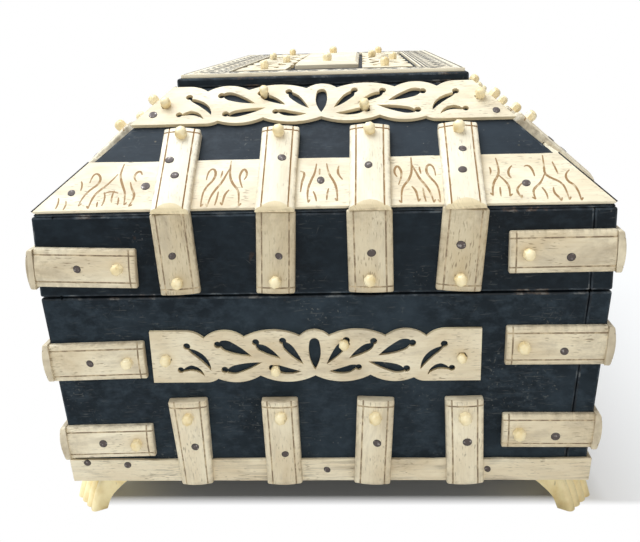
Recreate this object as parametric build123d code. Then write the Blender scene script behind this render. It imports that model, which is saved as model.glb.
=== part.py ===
from build123d import *
import os
from math import atan2, cos, floor, hypot, pi, sin

os.makedirs("parts", exist_ok=True)

# Carcass, in mm. X runs along the casket, the front looks along -Y.
case_length = 256.0
case_width = 170.0
wall_board = 6.5
foot_height = 15.0
box_height = 63.0
box_taper = 4.0
floor_board = 5.0
parting_gap = 0.4
band_height = 24.6
slope_run = 38.7
slope_rise = 33.6
slope_board = 5.0
top_board = 3.0
top_overhang = 0.5

# Bone mounts.
strip_thick = 1.2
strap_width = 12.2
base_strap_width = 11.2
slope_strap_width = 11.7
strap_edge = 1.6
strap_crown = 2.5
strap_pitch = 28.7
corner_length = 30.5
corner_gap = 3.0
lid_corner_up = 11.4
upper_corner_down = 17.6
lower_corner_gap = 0.6
corner_lift = {"right back": 2.0, "back left": -1.0, "left front": 1.0, "front right": -2.0}
base_strap_gap = 5.85
band_strap_rise = 0.9
band_strap_foot = 0.8
plinth_height = 8.0
engraved_setback = 1.2
engraved_width = 18.6
slope_strap_gap = 3.4

# How far the straps of an end were set off their even spacing, in the order they stand.
BASE_SET = (1.0, 0.6, 0.6, 0.0)
LID_SET = (-0.3, 1.7, 0.2, -1.1)

# Pierced bands. The openings are for a band of half length fret_half.
fret_thick = 1.3
fret_height = 17.0
fret_half = 50.0
box_fret_down = 19.25
end_fret_shift = -2.6
slope_fret_height = 16.0
slope_fret_gap = 0.8
fret_joint = 1.2
fret_clear = 1.5
fret_hip_run = 1.2

# Bone pegs stand proud of every mount, their feet on the boards.
peg_radius = 1.6
peg_sides = 6
peg_proud = 3.0
peg_chamfer = 0.9
peg_clear = 0.05
peg_inset = 5.2
band_peg_inset = 4.0
slope_peg_inset = 3.3

# Top panel.
border_inset = 1.2
border_width = 13.4
border_gap = 2.2
top_fret_gap = 1.4
plaque_length = 96.0
plaque_thick = 2.6
plaque_bevel = 1.2

# Diagonal bracket feet.
foot_turn = 52.0
foot_width = 15.4
foot_sole = 4.9
foot_splay = 7.3
foot_depth = 13.0
foot_hollow = 3.0
foot_hollow_rise = 7.2
foot_heel_rise = 13.7
foot_inset_end = 10.4
foot_proud_side = 2.6
reed_count = 4
reed_groove = 1.7
reed_depth = 0.8

# Butt hinges on the back.
hinge_length = 14.0
leaf_width = 5.2
leaf_thick = 0.75
leaf_clear = 0.1
knuckle_radius = 1.6
knuckle_gap = 0.15
hinge_stand = 0.2
pin_radius = 0.8
pin_clear = 0.05
screw_radius = 0.7
screw_head = 1.3
screw_length = 6.5
screw_place = 4.2

# Levels and angles.
z_base = foot_height
z_part = z_base + box_height
z_lid = z_part + parting_gap
z_band = z_lid + band_height
z_roof = z_band + slope_rise
z_top = z_roof + top_board
lean = atan2(box_taper, box_height)
box_face_length = hypot(box_taper, box_height)
pitch = atan2(slope_rise, slope_run)
slope_length = hypot(slope_run, slope_rise)
top_length = case_length - 2 * (slope_run - top_overhang)
top_width = case_width - 2 * (slope_run - top_overhang)

# Places of the mounts, down from the parting line or up the slope.
lower_corner_up = plinth_height + lower_corner_gap + strap_width / 2 - min(corner_lift.values())
lower_corner_down = box_face_length - lower_corner_up
base_strap_top = box_fret_down + fret_height / 2 + base_strap_gap
slope_fret_up = slope_length - slope_fret_gap - slope_fret_height / 2
slope_strap_top = slope_fret_up - slope_fret_height / 2 - slope_strap_gap
slope_strap_foot = strap_crown / cos(pitch)
slope_strap_length = slope_strap_top + slope_strap_foot
engraved_top = engraved_setback + engraved_width

# The sides in order, a quarter turn apart.
ORDER = ("right", "back", "left", "front")
ENDS = ("right", "left")


def turned(side):
    """The quarter turns that carry the right side round to another."""
    return Rot(Z=90 * ORDER.index(side))


def reach(side):
    """Distance from the middle of the casket out to one face."""
    return case_length / 2 if side in ENDS else case_width / 2


def span(side):
    """Half the width of one face at the parting line."""
    return case_width / 2 if side in ENDS else case_length / 2


def face(side, height, tilt, inset=0.0):
    """Frame on a face: x to its right, y up it, z out of it, tilted up by tilt."""
    plane = Plane((reach(side) - inset, 0, height), x_dir=(0, 1, 0), z_dir=(cos(tilt), 0, sin(tilt)))
    return turned(side) * plane.location


def box_face(side, inset=0.0):
    return face(side, z_part, -lean, inset)


def band_face(side, inset=0.0):
    return face(side, z_lid, 0, inset)


def slope_face(side):
    return face(side, z_band, pi / 2 - pitch)


def hips(side):
    """The two upright planes through a face's corners, at 45 degrees."""
    ends = []
    for hand in (-1, 1):
        plane = Plane((reach(side), hand * span(side), 0), x_dir=(0, 0, 1), z_dir=(-1, hand, 0))
        ends.append(Plane(turned(side) * plane.location))
    return ends


def trim(solid, *planes):
    """Keep what lies behind every plane."""
    for plane in planes:
        solid = split(solid, bisect_by=plane, keep=Keep.BOTTOM)
    return solid


def wall(side, low, high, low_inset, high_inset, thick, *planes):
    """A board on one side, its outer face running from low_inset to high_inset."""
    out = reach(side)
    section = Polyline(
        (out - low_inset, low),
        (out - high_inset, high),
        (out - high_inset - thick, high),
        (out - low_inset - thick, low),
        close=True,
    )
    blank = extrude(Plane.XZ * make_face(section), amount=case_length, both=True)
    return trim(turned(side) * blank, *planes)


def block(x0, x1, y0, y1, z0, z1):
    return Pos((x0 + x1) / 2, (y0 + y1) / 2, (z0 + z1) / 2) * Box(x1 - x0, y1 - y0, z1 - z0)


def save(name, solids):
    shape = solids[0] if len(solids) == 1 else Compound(children=list(solids))
    export_step(shape, f"parts/{name}.step")


# Carcass boards: long boards run through, end boards fit between them.
box_boards = {}
lid_boards = {}
for side in ORDER:
    if side in ENDS:
        box_ends = [Plane(box_face(other, wall_board)) for other in ("front", "back")]
        lid_ends = [Plane(band_face(other, wall_board)) for other in ("front", "back")]
    else:
        box_ends = [Plane(box_face(other)) for other in ENDS]
        lid_ends = [Plane(band_face(other)) for other in ENDS]
    box_boards[side] = wall(side, z_base, z_part, box_taper, 0, wall_board, *box_ends)
    lid_boards[side] = wall(side, z_lid, z_band, 0, 0, wall_board, *lid_ends)
    slope = wall(side, z_band, z_roof, 0, slope_run, slope_board / sin(pitch), *hips(side))
    save(f"lid_{side}_slope", [slope])

inner = [Plane(box_face(side, wall_board)) for side in ORDER]
bottom = block(-case_length, case_length, -case_width, case_width, z_base, z_base + floor_board)
save("box_bottom_board", [trim(bottom, *inner)])

top = block(-top_length / 2, top_length / 2, -top_width / 2, top_width / 2, z_roof, z_top)
save("lid_top_board", [top])


# Bone straps, crowned across, and the pegs that hold them.
def strap(width, length, lap=0.0):
    """Crowned strap along Y, lying on z = 0, thicker by lap."""
    half = width / 2
    low = strap_edge + lap
    sides = Polyline((half, low), (half, 0), (-half, 0), (-half, low))
    crown = ThreePointArc((-half, low), (0, strap_crown + lap), (half, low))
    return extrude(Plane.XZ * make_face(sides + crown), amount=length / 2, both=True)


def peg(height):
    shaft = extrude(RegularPolygon(peg_radius, peg_sides), amount=height)
    return chamfer(shaft.edges().group_by(Axis.Z)[-1], peg_chamfer)


def drill(piece, spots):
    """Peg holes through a mount at its (x, y) spots."""
    tool = extrude(RegularPolygon(peg_radius + peg_clear, peg_sides), amount=case_width, both=True)
    for x, y in spots:
        piece = piece - Pos(x, y, 0) * tool
    return piece


def strap_row(side):
    """Places of the upright straps along a face, as many as it has room for."""
    room = 2 * (span(side) - corner_length - corner_gap) - strap_width
    count = floor(room / strap_pitch) + 1
    return [(i - (count - 1) / 2) * strap_pitch for i in range(count)]


def set_row(side, settings):
    """The same places, off their even spacing on the two ends."""
    row = strap_row(side)
    if side not in ENDS:
        return row
    return [x + settings[i % len(settings)] for i, x in enumerate(row)]


box_pegs = []
lid_pegs = []
strap_peg = peg(strap_crown + peg_proud)
lap_peg = peg(strap_crown + strip_thick + peg_proud)
fret_peg = peg(fret_thick + peg_proud)

base_length = box_face_length - base_strap_top
base_middle = -(base_strap_top + box_face_length) / 2
base_peg_up = base_length / 2 - peg_inset
base_strap = strap(base_strap_width, base_length, strip_thick)
plinth_step = block(-strap_width, strap_width, -base_length, plinth_height - base_length / 2, 0, strip_thick)
base_strap = drill(base_strap - plinth_step, [(0, base_peg_up)])

band_length = band_height + band_strap_rise - band_strap_foot
band_middle = band_strap_foot + band_length / 2
band_peg_up = band_peg_inset - band_length / 2
band_strap = drill(strap(strap_width, band_length), [(0, band_peg_up)])

slope_middle = slope_strap_top - slope_strap_length / 2
slope_peg_up = slope_strap_length / 2 - slope_peg_inset
slope_strap = strap(slope_strap_width, slope_strap_length, strip_thick)
step_top = engraved_top - slope_middle
strip_step = block(-strap_width, strap_width, -slope_strap_length, step_top, 0, strip_thick)
slope_strap = drill(slope_strap - strip_step, [(0, slope_peg_up)])

underside = Plane((0, 0, z_base), z_dir=(0, 0, -1))
band_top = Plane((0, 0, z_band + band_strap_rise), z_dir=(0, 0, -1))
for side in ORDER:
    wide = 2 * span(side)
    plinth = block(-wide, wide, -box_face_length, plinth_height - box_face_length, 0, strip_thick)
    save(f"plinth_{side}", [trim(box_face(side) * plinth, underside, *hips(side))])
    engraved = block(-wide, wide, engraved_setback, engraved_top, 0, strip_thick)
    save(f"engraved_strip_{side}", [trim(slope_face(side) * engraved, *hips(side))])
    base_straps = []
    band_straps = []
    slope_straps = []
    plumb = Plane(band_face(side)).offset(strap_crown)
    for x in set_row(side, BASE_SET):
        spot = box_face(side) * Pos(x, base_middle, 0)
        base_straps.append(spot * base_strap)
        box_pegs.append(spot * Pos(0, base_peg_up, 0) * lap_peg)
    for x in set_row(side, LID_SET):
        spot = band_face(side) * Pos(x, band_middle, 0)
        band_straps.append(spot * band_strap)
        lid_pegs.append(spot * Pos(0, band_peg_up, 0) * strap_peg)
        spot = slope_face(side) * Pos(x, slope_middle, 0)
        slope_straps.append(trim(spot * slope_strap, plumb, band_top))
        lid_pegs.append(spot * Pos(0, slope_peg_up, 0) * lap_peg)
    save(f"base_straps_{side}", base_straps)
    save(f"band_straps_{side}", band_straps)
    save(f"slope_straps_{side}", slope_straps)


# Corner straps: an end strap stops at the corner and the long one laps over it.
def corner_of(side, hand):
    at = ORDER.index(side) + (0 if hand > 0 else -1)
    return f"{ORDER[at]} {ORDER[(at + 1) % 4]}"


def corner_straps(frame, down, pegs):
    spare = 4 * strap_crown
    blank = Rot(Z=90) * strap(strap_width, corner_length + spare)
    pieces = []
    for side in ORDER:
        for hand in (-1, 1):
            y = corner_lift[corner_of(side, hand)] - down
            middle = hand * (span(side) - (corner_length - spare) / 2)
            at_peg = hand * (span(side) - corner_length + peg_inset)
            piece = frame(side) * drill(Pos(middle, y, 0) * blank, [(at_peg, y)])
            other = ORDER[(ORDER.index(side) + hand) % 4]
            stop = Plane(frame(other))
            if side not in ENDS:
                stop = stop.offset(strap_crown)
            pieces.append(trim(piece, stop))
            pegs.append(frame(side) * Pos(at_peg, y, 0) * strap_peg)
    return pieces


save("lid_corner_straps", corner_straps(band_face, -lid_corner_up, lid_pegs))
save("box_upper_corner_straps", corner_straps(box_face, upper_corner_down, box_pegs))
save("box_lower_corner_straps", corner_straps(box_face, lower_corner_down, box_pegs))

# Pierced bands. Each row is a leaf and its drilled head: tail, middle of the upper edge,
# neck, middle of the lower edge, head, head radius. The other half of the band mirrors them.
LEAVES = [
    ((3.5, -2.7), (5.5, 1.4), (9.1, 4.7), (7.8, 0.7), (9.6, 5.1), 1.10),
    ((10.4, -0.8), (13.3, 2.4), (17.6, 3.8), (14.9, 0.8), (17.8, 4.7), 1.10),
    ((19.2, 0.1), (23.8, 3.9), (28.8, 4.7), (25.1, 1.1), (29.4, 4.0), 1.15),
    ((31.9, -4.7), (33.2, -0.3), (38.4, 2.8), (35.3, -0.8), (38.9, 3.6), 1.10),
    ((4.2, -5.0), (8.5, -3.8), (12.7, -3.4), (8.7, -5.9), (13.2, -3.8), 1.00),
    ((16.1, -1.9), (22.2, -2.4), (27.0, -5.0), (21.6, -4.8), (27.7, -4.4), 1.10),
    ((34.0, -6.6), (36.8, -3.0), (40.7, -4.6), (37.4, -4.6), (41.3, -4.3), 1.00),
]
OVAL_TOP = (0.0, 4.4)
OVAL_RADIUS = 1.55
OVAL_SIDE = (1.6, -0.6)
OVAL_TIP = (0.0, -4.6)
TOP_NOTCHES = [(4.4, 6.5), (21.4, 6.3), (33.6, 6.1)]
TOP_SHOULDER = 39.5
FOOT_NOTCHES = [(0.0, -6.4), (16.8, -6.3), (29.9, -7.3)]
FOOT_SHOULDER = 33.5
SHOULDER_BEND = (0.45, 0.75)
FRET_PEGS = [(-45.4, -0.7), (-12.2, -4.3), (9.1, 3.9), (44.3, -0.7)]
SLOPE_PEGS = [(-45.6, 0.1), (-16.9, 4.4), (12.6, -2.5), (45.6, 1.0)]


# Fullness of a leaf: how far along from its tail, and its half width there.
LEAF_SWELL = [(0.4, 0.95), (0.68, 1.2), (0.88, 0.95), (1.0, 0.4)]


def leaf_opening(row, stretch, rise):
    """A leaf, fullest near its neck, running from its pointed tail into a round drilled head."""
    tail, upper, neck, lower, head = [Vector(x * stretch, y * rise) for x, y in row[:5]]
    run = neck - tail
    across = (upper - lower) / 2
    bow = (upper + lower) / 2 - (tail + neck) / 2
    sides = []
    for hand in (1, -1):
        points = [tail]
        for way, full in LEAF_SWELL:
            points.append(tail + run * way + bow * (4 * way * (1 - way)) + across * (hand * full))
        sides.append(points)
    edges = [Line(sides[0][-1], sides[1][-1])]
    for one, two, three, four, five in sides:
        edges.append(ThreePointArc(one, two, three))
        edges.append(ThreePointArc(three, four, five))
    return make_face(edges) + Pos(head.X, head.Y) * Circle(row[5])


def mirrored(shape):
    return mirror(shape, Plane.YZ)


def scallops(notches, shoulder, crest, stretch, rise):
    """Right half of a scalloped edge, from its middle out to its plain shoulder."""
    places = [Vector(x * stretch, y * rise) for x, y in notches]
    arcs = []
    for one, two in zip(places, places[1:]):
        arcs.append(ThreePointArc(one, Vector((one.X + two.X) / 2, crest), two))
    last = places[-1]
    run = shoulder * stretch - last.X
    bend = Vector(last.X + SHOULDER_BEND[0] * run, last.Y + SHOULDER_BEND[1] * (crest - last.Y))
    arcs.append(ThreePointArc(last, bend, Vector(shoulder * stretch, crest)))
    return arcs


def fret(half, left_end, right_end, height, peg_spots):
    """A pierced band, its pattern fitted to half and height, its plain ends where asked."""
    stretch = half / fret_half
    rise = height / fret_height
    high = height / 2
    upper = scallops(TOP_NOTCHES, TOP_SHOULDER, high, stretch, rise)
    lower = scallops(FOOT_NOTCHES, FOOT_SHOULDER, -high, stretch, rise)
    first = Vector(TOP_NOTCHES[0][0] * stretch, TOP_NOTCHES[0][1] * rise)
    middle = ThreePointArc(Vector(-first.X, first.Y), Vector(0, high), first)
    top_out = TOP_SHOULDER * stretch
    foot_out = FOOT_SHOULDER * stretch
    right = Polyline((top_out, high), (right_end, high), (right_end, -high), (foot_out, -high))
    left = Polyline((-top_out, high), (-left_end, high), (-left_end, -high), (-foot_out, -high))
    edges = [middle, *upper, *lower, right, left]
    edges += [mirrored(arc) for arc in upper + lower]
    band = make_face(Wire.combine([edge for part in edges for edge in part.edges()])[0].edges())
    openings = []
    for row in LEAVES:
        openings.append(leaf_opening(row, stretch, rise))
        openings.append(mirrored(leaf_opening(row, stretch, rise)))
    crown = Vector(OVAL_TOP[0], OVAL_TOP[1] * rise + OVAL_RADIUS)
    side = Vector(OVAL_RADIUS, OVAL_TOP[1] * rise)
    flank = Vector(OVAL_SIDE[0], OVAL_SIDE[1] * rise)
    tip = Vector(OVAL_TIP[0], OVAL_TIP[1] * rise)
    edges = [
        ThreePointArc(Vector(-side.X, side.Y), crown, side),
        ThreePointArc(side, flank, tip),
        ThreePointArc(tip, Vector(-flank.X, flank.Y), Vector(-side.X, side.Y)),
    ]
    openings.append(make_face(edges))
    holes = [opening.faces()[0].outer_wire() for opening in openings]
    pierced = Face(band.faces()[0].outer_wire(), holes)
    spots = [(x * stretch, y * rise) for x, y in peg_spots]
    return drill(extrude(pierced, amount=fret_thick, dir=(0, 0, 1)), spots), spots


def fret_places(side, room, shift):
    """One band across an end, two along a side, each with its half length."""
    if side in ENDS:
        return [(shift, room)]
    half = (room - fret_joint / 2) / 2
    return [(-room + half, half), (room - half, half)]


for side in ORDER:
    frets = []
    room = span(side) - corner_length - corner_gap - fret_clear
    for x, half in fret_places(side, room, end_fret_shift):
        band, spots = fret(half, half, half, fret_height, FRET_PEGS)
        spot = box_face(side) * Pos(x, -box_fret_down, 0)
        frets.append(spot * band)
        box_pegs += [spot * Pos(px, py, 0) * fret_peg for px, py in spots]
    save(f"box_fret_{side}", frets)
    frets = []
    room = span(side) - slope_fret_up * cos(pitch) + fret_hip_run
    for x, half in fret_places(side, room, 0.0):
        hip_end = span(side) - abs(x)
        join_end = hip_end if x == 0 else abs(x) - fret_joint / 2
        ends = (join_end, hip_end) if x > 0 else (hip_end, join_end)
        band, spots = fret(half, *ends, slope_fret_height, SLOPE_PEGS)
        spot = slope_face(side) * Pos(x, slope_fret_up, 0)
        frets.append(trim(spot * band, *hips(side)))
        lid_pegs += [spot * Pos(px, py, 0) * fret_peg for px, py in spots]
    save(f"slope_fret_{side}", frets)

# Top panel: mitred border, a pierced band along each side, a raised plaque.
border = []
for side in ORDER:
    out = (top_length if side in ENDS else top_width) / 2 - border_inset
    half = (top_width if side in ENDS else top_length) / 2 - border_inset
    section = Polyline(
        (out, -half),
        (out, half),
        (out - border_width, half - border_width),
        (out - border_width, border_width - half),
        close=True,
    )
    strip = Pos(0, 0, z_top) * extrude(make_face(section), amount=strip_thick)
    border.append(turned(side) * strip)
save("top_border", border)

field_length = top_length - 2 * (border_inset + border_width + border_gap)
field_width = top_width - 2 * (border_inset + border_width + border_gap)
band, spots = fret(field_length / 2, field_length / 2, field_length / 2, fret_height, FRET_PEGS)
top_frets = []
for hand in (-1, 1):
    spot = Pos(0, hand * (field_width - fret_height) / 2, z_top) * Rot(Z=90 - 90 * hand)
    top_frets.append(spot * band)
    lid_pegs += [spot * Pos(px, py, 0) * fret_peg for px, py in spots]
save("top_frets", top_frets)

plaque_width = field_width - 2 * (fret_height + top_fret_gap)
plaque = block(-plaque_length / 2, plaque_length / 2, -plaque_width / 2, plaque_width / 2, 0, plaque_thick)
plaque = chamfer(plaque.edges().group_by(Axis.Z)[-1], plaque_bevel)
plaque_spots = [(hand * (plaque_length / 2 - peg_inset), 0) for hand in (-1, 1)]
save("top_plaque", [Pos(0, 0, z_top) * drill(plaque, plaque_spots)])
plaque_peg = peg(plaque_thick + peg_proud)
lid_pegs += [Pos(px, py, z_top) * plaque_peg for px, py in plaque_spots]

save("box_pegs", box_pegs)
save("lid_pegs", lid_pegs)


# Feet: a splayed bracket whose outer face is reeded, turned out at each corner.
def foot():
    """Bracket with its sole edge on y = 0 at z = 0, its outer face looking to +Y."""
    back = -foot_splay - foot_depth
    hollow = (-foot_sole - foot_hollow, foot_hollow_rise)
    section = make_face(
        [
            Line((-foot_splay, foot_height), (0, 0)),
            Line((0, 0), (-foot_sole, 0)),
            ThreePointArc((-foot_sole, 0), hollow, (back, foot_heel_rise)),
            Line((back, foot_heel_rise), (back, foot_height)),
            Line((back, foot_height), (-foot_splay, foot_height)),
        ]
    )
    body = extrude(Plane.YZ * section, amount=foot_width / 2, both=True)
    slant = Plane((0, 0, 0), x_dir=(1, 0, 0), z_dir=(0, foot_height, foot_splay))
    vee = Polyline((-reed_groove / 2, 0), (0, -reed_depth), (reed_groove / 2, 0), (0, 1), close=True)
    groove = extrude(Plane.XZ * make_face(vee), amount=2 * foot_height, both=True)
    for i in range(1, reed_count):
        x = (i / reed_count - 0.5) * foot_width
        body = body - slant.location * Pos(x, 0, 0) * groove
    return body


foot_body = foot()
for end, x_hand in (("right", 1), ("left", -1)):
    for front, y_hand in (("front", -1), ("back", 1)):
        x = x_hand * (case_length / 2 - box_taper - foot_inset_end)
        y = y_hand * (case_width / 2 - box_taper + foot_proud_side)
        turn = 90 * (1 - y_hand) - x_hand * y_hand * (90 - foot_turn)
        save(f"foot_{front}_{end}", [Pos(x, y, 0) * Rot(Z=turn) * foot_body])

# Hinges: leaves let into the edges of the back boards, knuckles outside.
back = case_width / 2
hinge_y = back + hinge_stand + knuckle_radius
hinge_z = z_part + parting_gap / 2
leaf_sink = leaf_thick - (parting_gap - leaf_clear) / 2
hinge_x = sum(strap_row("back")[-2:]) / 2
third = hinge_length / 3
half = hinge_length / 2


def barrel(x0, x1, radius):
    body = Rot(Y=90) * Cylinder(radius, x1 - x0)
    return Pos((x0 + x1) / 2, hinge_y, hinge_z) * body


def hinge_screw(clear):
    """Countersunk screw hanging from its head at z = 0."""
    head = Pos(0, 0, -leaf_thick / 2) * Cone(screw_radius + clear, screw_head + clear, leaf_thick)
    shank = Pos(0, 0, -screw_length / 2) * Cylinder(screw_radius + clear, screw_length)
    return head + shank


def leaf(z0, z1, knuckles):
    """Plate let into a board edge, carried out to its own knuckles."""
    body = block(-half, half, back - leaf_width, back, z0, z1)
    for x0, x1 in knuckles:
        body = body + block(x0, x1, back, hinge_y, z0, z1) + barrel(x0, x1, knuckle_radius)
    return body - barrel(-hinge_length, hinge_length, pin_radius + pin_clear)


inner_edge = third / 2 + knuckle_gap / 2
outer_knuckles = [(-half, -inner_edge), (inner_edge, half)]
middle_knuckle = [(-third / 2 + knuckle_gap / 2, third / 2 - knuckle_gap / 2)]
box_leaf = leaf(z_part - leaf_sink, z_part - leaf_sink + leaf_thick, outer_knuckles)
lid_leaf = leaf(z_lid + leaf_sink - leaf_thick, z_lid + leaf_sink, middle_knuckle)
hinge_pin = barrel(-half, half, pin_radius)
screw_y = back - leaf_width / 2
screw_spots = []
for x in (-screw_place, screw_place):
    low = Pos(x, screw_y, z_part - leaf_sink + leaf_thick)
    high = Pos(x, screw_y, z_lid + leaf_sink - leaf_thick) * Rot(X=180)
    screw_spots.append((low, high))
    box_leaf = box_leaf - low * hinge_screw(pin_clear)
    lid_leaf = lid_leaf - high * hinge_screw(pin_clear)

parts = {"box_leaves": [], "lid_leaves": [], "pins": [], "box_screws": [], "lid_screws": []}
for hand in (-1, 1):
    spot = Pos(hand * hinge_x, 0, 0)
    parts["box_leaves"].append(spot * box_leaf)
    parts["lid_leaves"].append(spot * lid_leaf)
    parts["pins"].append(spot * hinge_pin)
    ends = half + pin_clear
    mortise = block(-ends, ends, back - leaf_width - pin_clear, back + 1, 0, leaf_sink + 1)
    box_boards["back"] = box_boards["back"] - spot * Pos(0, 0, z_part - leaf_sink) * mortise
    lid_boards["back"] = lid_boards["back"] - spot * Pos(0, 0, z_lid - 1) * mortise
    for low, high in screw_spots:
        parts["box_screws"].append(spot * low * hinge_screw(0))
        parts["lid_screws"].append(spot * high * hinge_screw(0))
        box_boards["back"] = box_boards["back"] - spot * low * hinge_screw(pin_clear)
        lid_boards["back"] = lid_boards["back"] - spot * high * hinge_screw(pin_clear)
for name, solids in parts.items():
    save(f"hinge_{name}", solids)
for side in ORDER:
    save(f"box_{side}_board", [box_boards[side]])
    save(f"lid_{side}_board", [lid_boards[side]])
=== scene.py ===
import math
import random

import bmesh
import bpy
from bpy.props import FloatProperty, FloatVectorProperty, IntProperty, PointerProperty
from bpy.types import Operator, Panel, PropertyGroup
from mathutils import Matrix, Vector


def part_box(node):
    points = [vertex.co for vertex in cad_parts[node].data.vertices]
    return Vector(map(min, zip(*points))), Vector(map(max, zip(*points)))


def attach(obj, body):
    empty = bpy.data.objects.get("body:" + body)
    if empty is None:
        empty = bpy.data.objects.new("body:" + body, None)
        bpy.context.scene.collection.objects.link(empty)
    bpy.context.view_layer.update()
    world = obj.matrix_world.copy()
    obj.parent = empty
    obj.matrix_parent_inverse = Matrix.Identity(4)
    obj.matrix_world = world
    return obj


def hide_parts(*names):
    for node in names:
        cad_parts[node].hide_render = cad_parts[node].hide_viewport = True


bl_info = {
    "name": "Bone casket",
    "version": (1, 0, 0),
    "blender": (4, 5, 0),
    "location": "View3D > Sidebar > Casket",
    "description": "Dresses a casket of painted boards in carved bone mounts",
    "category": "Object",
}

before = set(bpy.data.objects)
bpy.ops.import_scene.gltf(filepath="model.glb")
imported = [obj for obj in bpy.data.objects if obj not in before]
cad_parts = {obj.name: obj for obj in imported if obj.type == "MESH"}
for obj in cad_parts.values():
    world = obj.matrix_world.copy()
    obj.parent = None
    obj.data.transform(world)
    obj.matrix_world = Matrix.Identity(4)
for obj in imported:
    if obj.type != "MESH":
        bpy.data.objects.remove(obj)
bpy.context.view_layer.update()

MM = 0.001
# Corners closer than this are one corner.
MERGE = 1e-6
# A solid stands on a face when its foot is this near to it and it rises no further than the second value.
SEAT = 0.00005
PROUDEST = 9 * MM
# Faces that turn less than the first angle are one flat face; edges past the second are eased.
FLAT = math.radians(0.6)
SHARP = math.radians(32)
# Largest angle, in degrees, that is shaded smooth on each kind of work.
SMOOTH = {"sawn": 38, "strap": 30, "peg": 45, "pin": 40, "foot": 40, "stroke": 60}
# Bone: how long the stock is that pieces are cut from, the scale of the grain on an end, and how squarely a
# face has to look along the grain to be an end.
GRAIN_RUN = 9
END_GRAIN = 0.15
END_FACING = 0.7

# Levels and reaches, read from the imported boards.
SIDES = ("right", "back", "left", "front")
ENDS = ("right", "left")
half_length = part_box("lid_right_board")[1].x
half_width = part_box("lid_back_board")[1].y
z_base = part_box("box_right_board")[0].z
z_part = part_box("box_right_board")[1].z
z_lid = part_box("lid_right_board")[0].z
z_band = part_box("lid_right_board")[1].z
z_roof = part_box("lid_top_board")[0].z
z_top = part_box("lid_top_board")[1].z
wall = half_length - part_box("lid_right_board")[0].x
taper = half_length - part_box("box_right_board")[0].x - wall
roof_corners = [v.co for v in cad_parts["lid_right_slope"].data.vertices if v.co.z > z_roof - SEAT]
slope_run = half_length - max(corner.x for corner in roof_corners)
lean = math.atan2(taper, z_part - z_base)
pitch = math.atan2(z_roof - z_band, slope_run)
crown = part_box("band_straps_right")[1].x - half_length
band_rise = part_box("band_straps_right")[1].z - z_band


def face_frame(side, height, tilt):
    """Frame on a face of the casket: x to its right, y up it, z out of it."""
    along = Vector((0, 1, 0))
    out = Vector((math.cos(tilt), 0, math.sin(tilt)))
    place = Matrix((along, out.cross(along), out)).transposed().to_4x4()
    place.translation = (half_length if side in ENDS else half_width, 0, height)
    return Matrix.Rotation(math.pi / 2 * SIDES.index(side), 4, "Z") @ place


BOX = {side: face_frame(side, z_part, -lean) for side in SIDES}
BAND = {side: face_frame(side, z_lid, 0) for side in SIDES}
SLOPE = {side: face_frame(side, z_band, math.pi / 2 - pitch) for side in SIDES}
TOP = Matrix.Translation((0, 0, z_top))


def length(name, about, size):
    """A length that a user may change, written in mm."""
    return FloatProperty(name=name, description=about, default=size * MM, unit="LENGTH")


def tint(name, about, colour):
    """A colour that a user may change."""
    return FloatVectorProperty(name=name, description=about, default=colour, subtype="COLOR")


class CasketSizes(PropertyGroup):
    """Sizes of the hand work on the casket."""

    board_round: length("Board edge", "Rounding of the board edges", 0.7)
    bone_round: length("Bone edge", "Rounding of the bone edges", 0.22)
    strap_round: length("Strap edge", "Rounding of the strap edges", 0.55)
    strap_foot: length("Strap foot", "Depth pared off the foot of a slope strap", 0.5)
    strap_edge: length("Strap rim", "Thickness of a strap at its long edges", 1.6)
    line_inset: length("Line inset", "Incised line from the long edge of a strap", 1.9)
    line_end: length("Cross line", "Incised cross line from the end of a strap", 1.9)
    line_width: length("Line width", "Width of an incised line", 0.5)
    line_depth: length("Line depth", "Depth of an incised line", 0.2)
    strap_wander: length("Wander", "How far a hand-sawn strap strays from true", 0.16)
    peg_radius: length("Peg radius", "Radius of a bone peg", 1.9)
    peg_sides: IntProperty(
        name="Peg sides", description="Facets round a whittled peg", default=7, min=5, max=16
    )
    pin_radius: length("Pin radius", "Radius of a flush metal pin", 1.34)
    pin_proud: length("Pin height", "How far a pin stands out of the bone", 0.12)
    vine_width: length("Vine width", "Width of an engraved stroke", 0.8)
    scroll_width: length("Scroll width", "Width of a stroke on the top border", 1.15)
    ragged: length("Ragged edge", "Unevenness of a planed strip's edge", 0.3)
    reed_round: length("Reed", "Rounding of the reeds on a foot", 0.9)
    foot_round: length("Foot edge", "Rounding of a foot's outer edges", 1.8)
    foot_bulge: length("Foot bulge", "Outward swell of a foot", 0.9)
    foot_reach: length("Bracket", "How far each arm of a foot runs on under the box", 9)
    reed_wear: FloatProperty(
        name="Reed wear", description="Share of the reeds that handling has rubbed away", default=0.3,
        subtype="FACTOR",
    )


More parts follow.
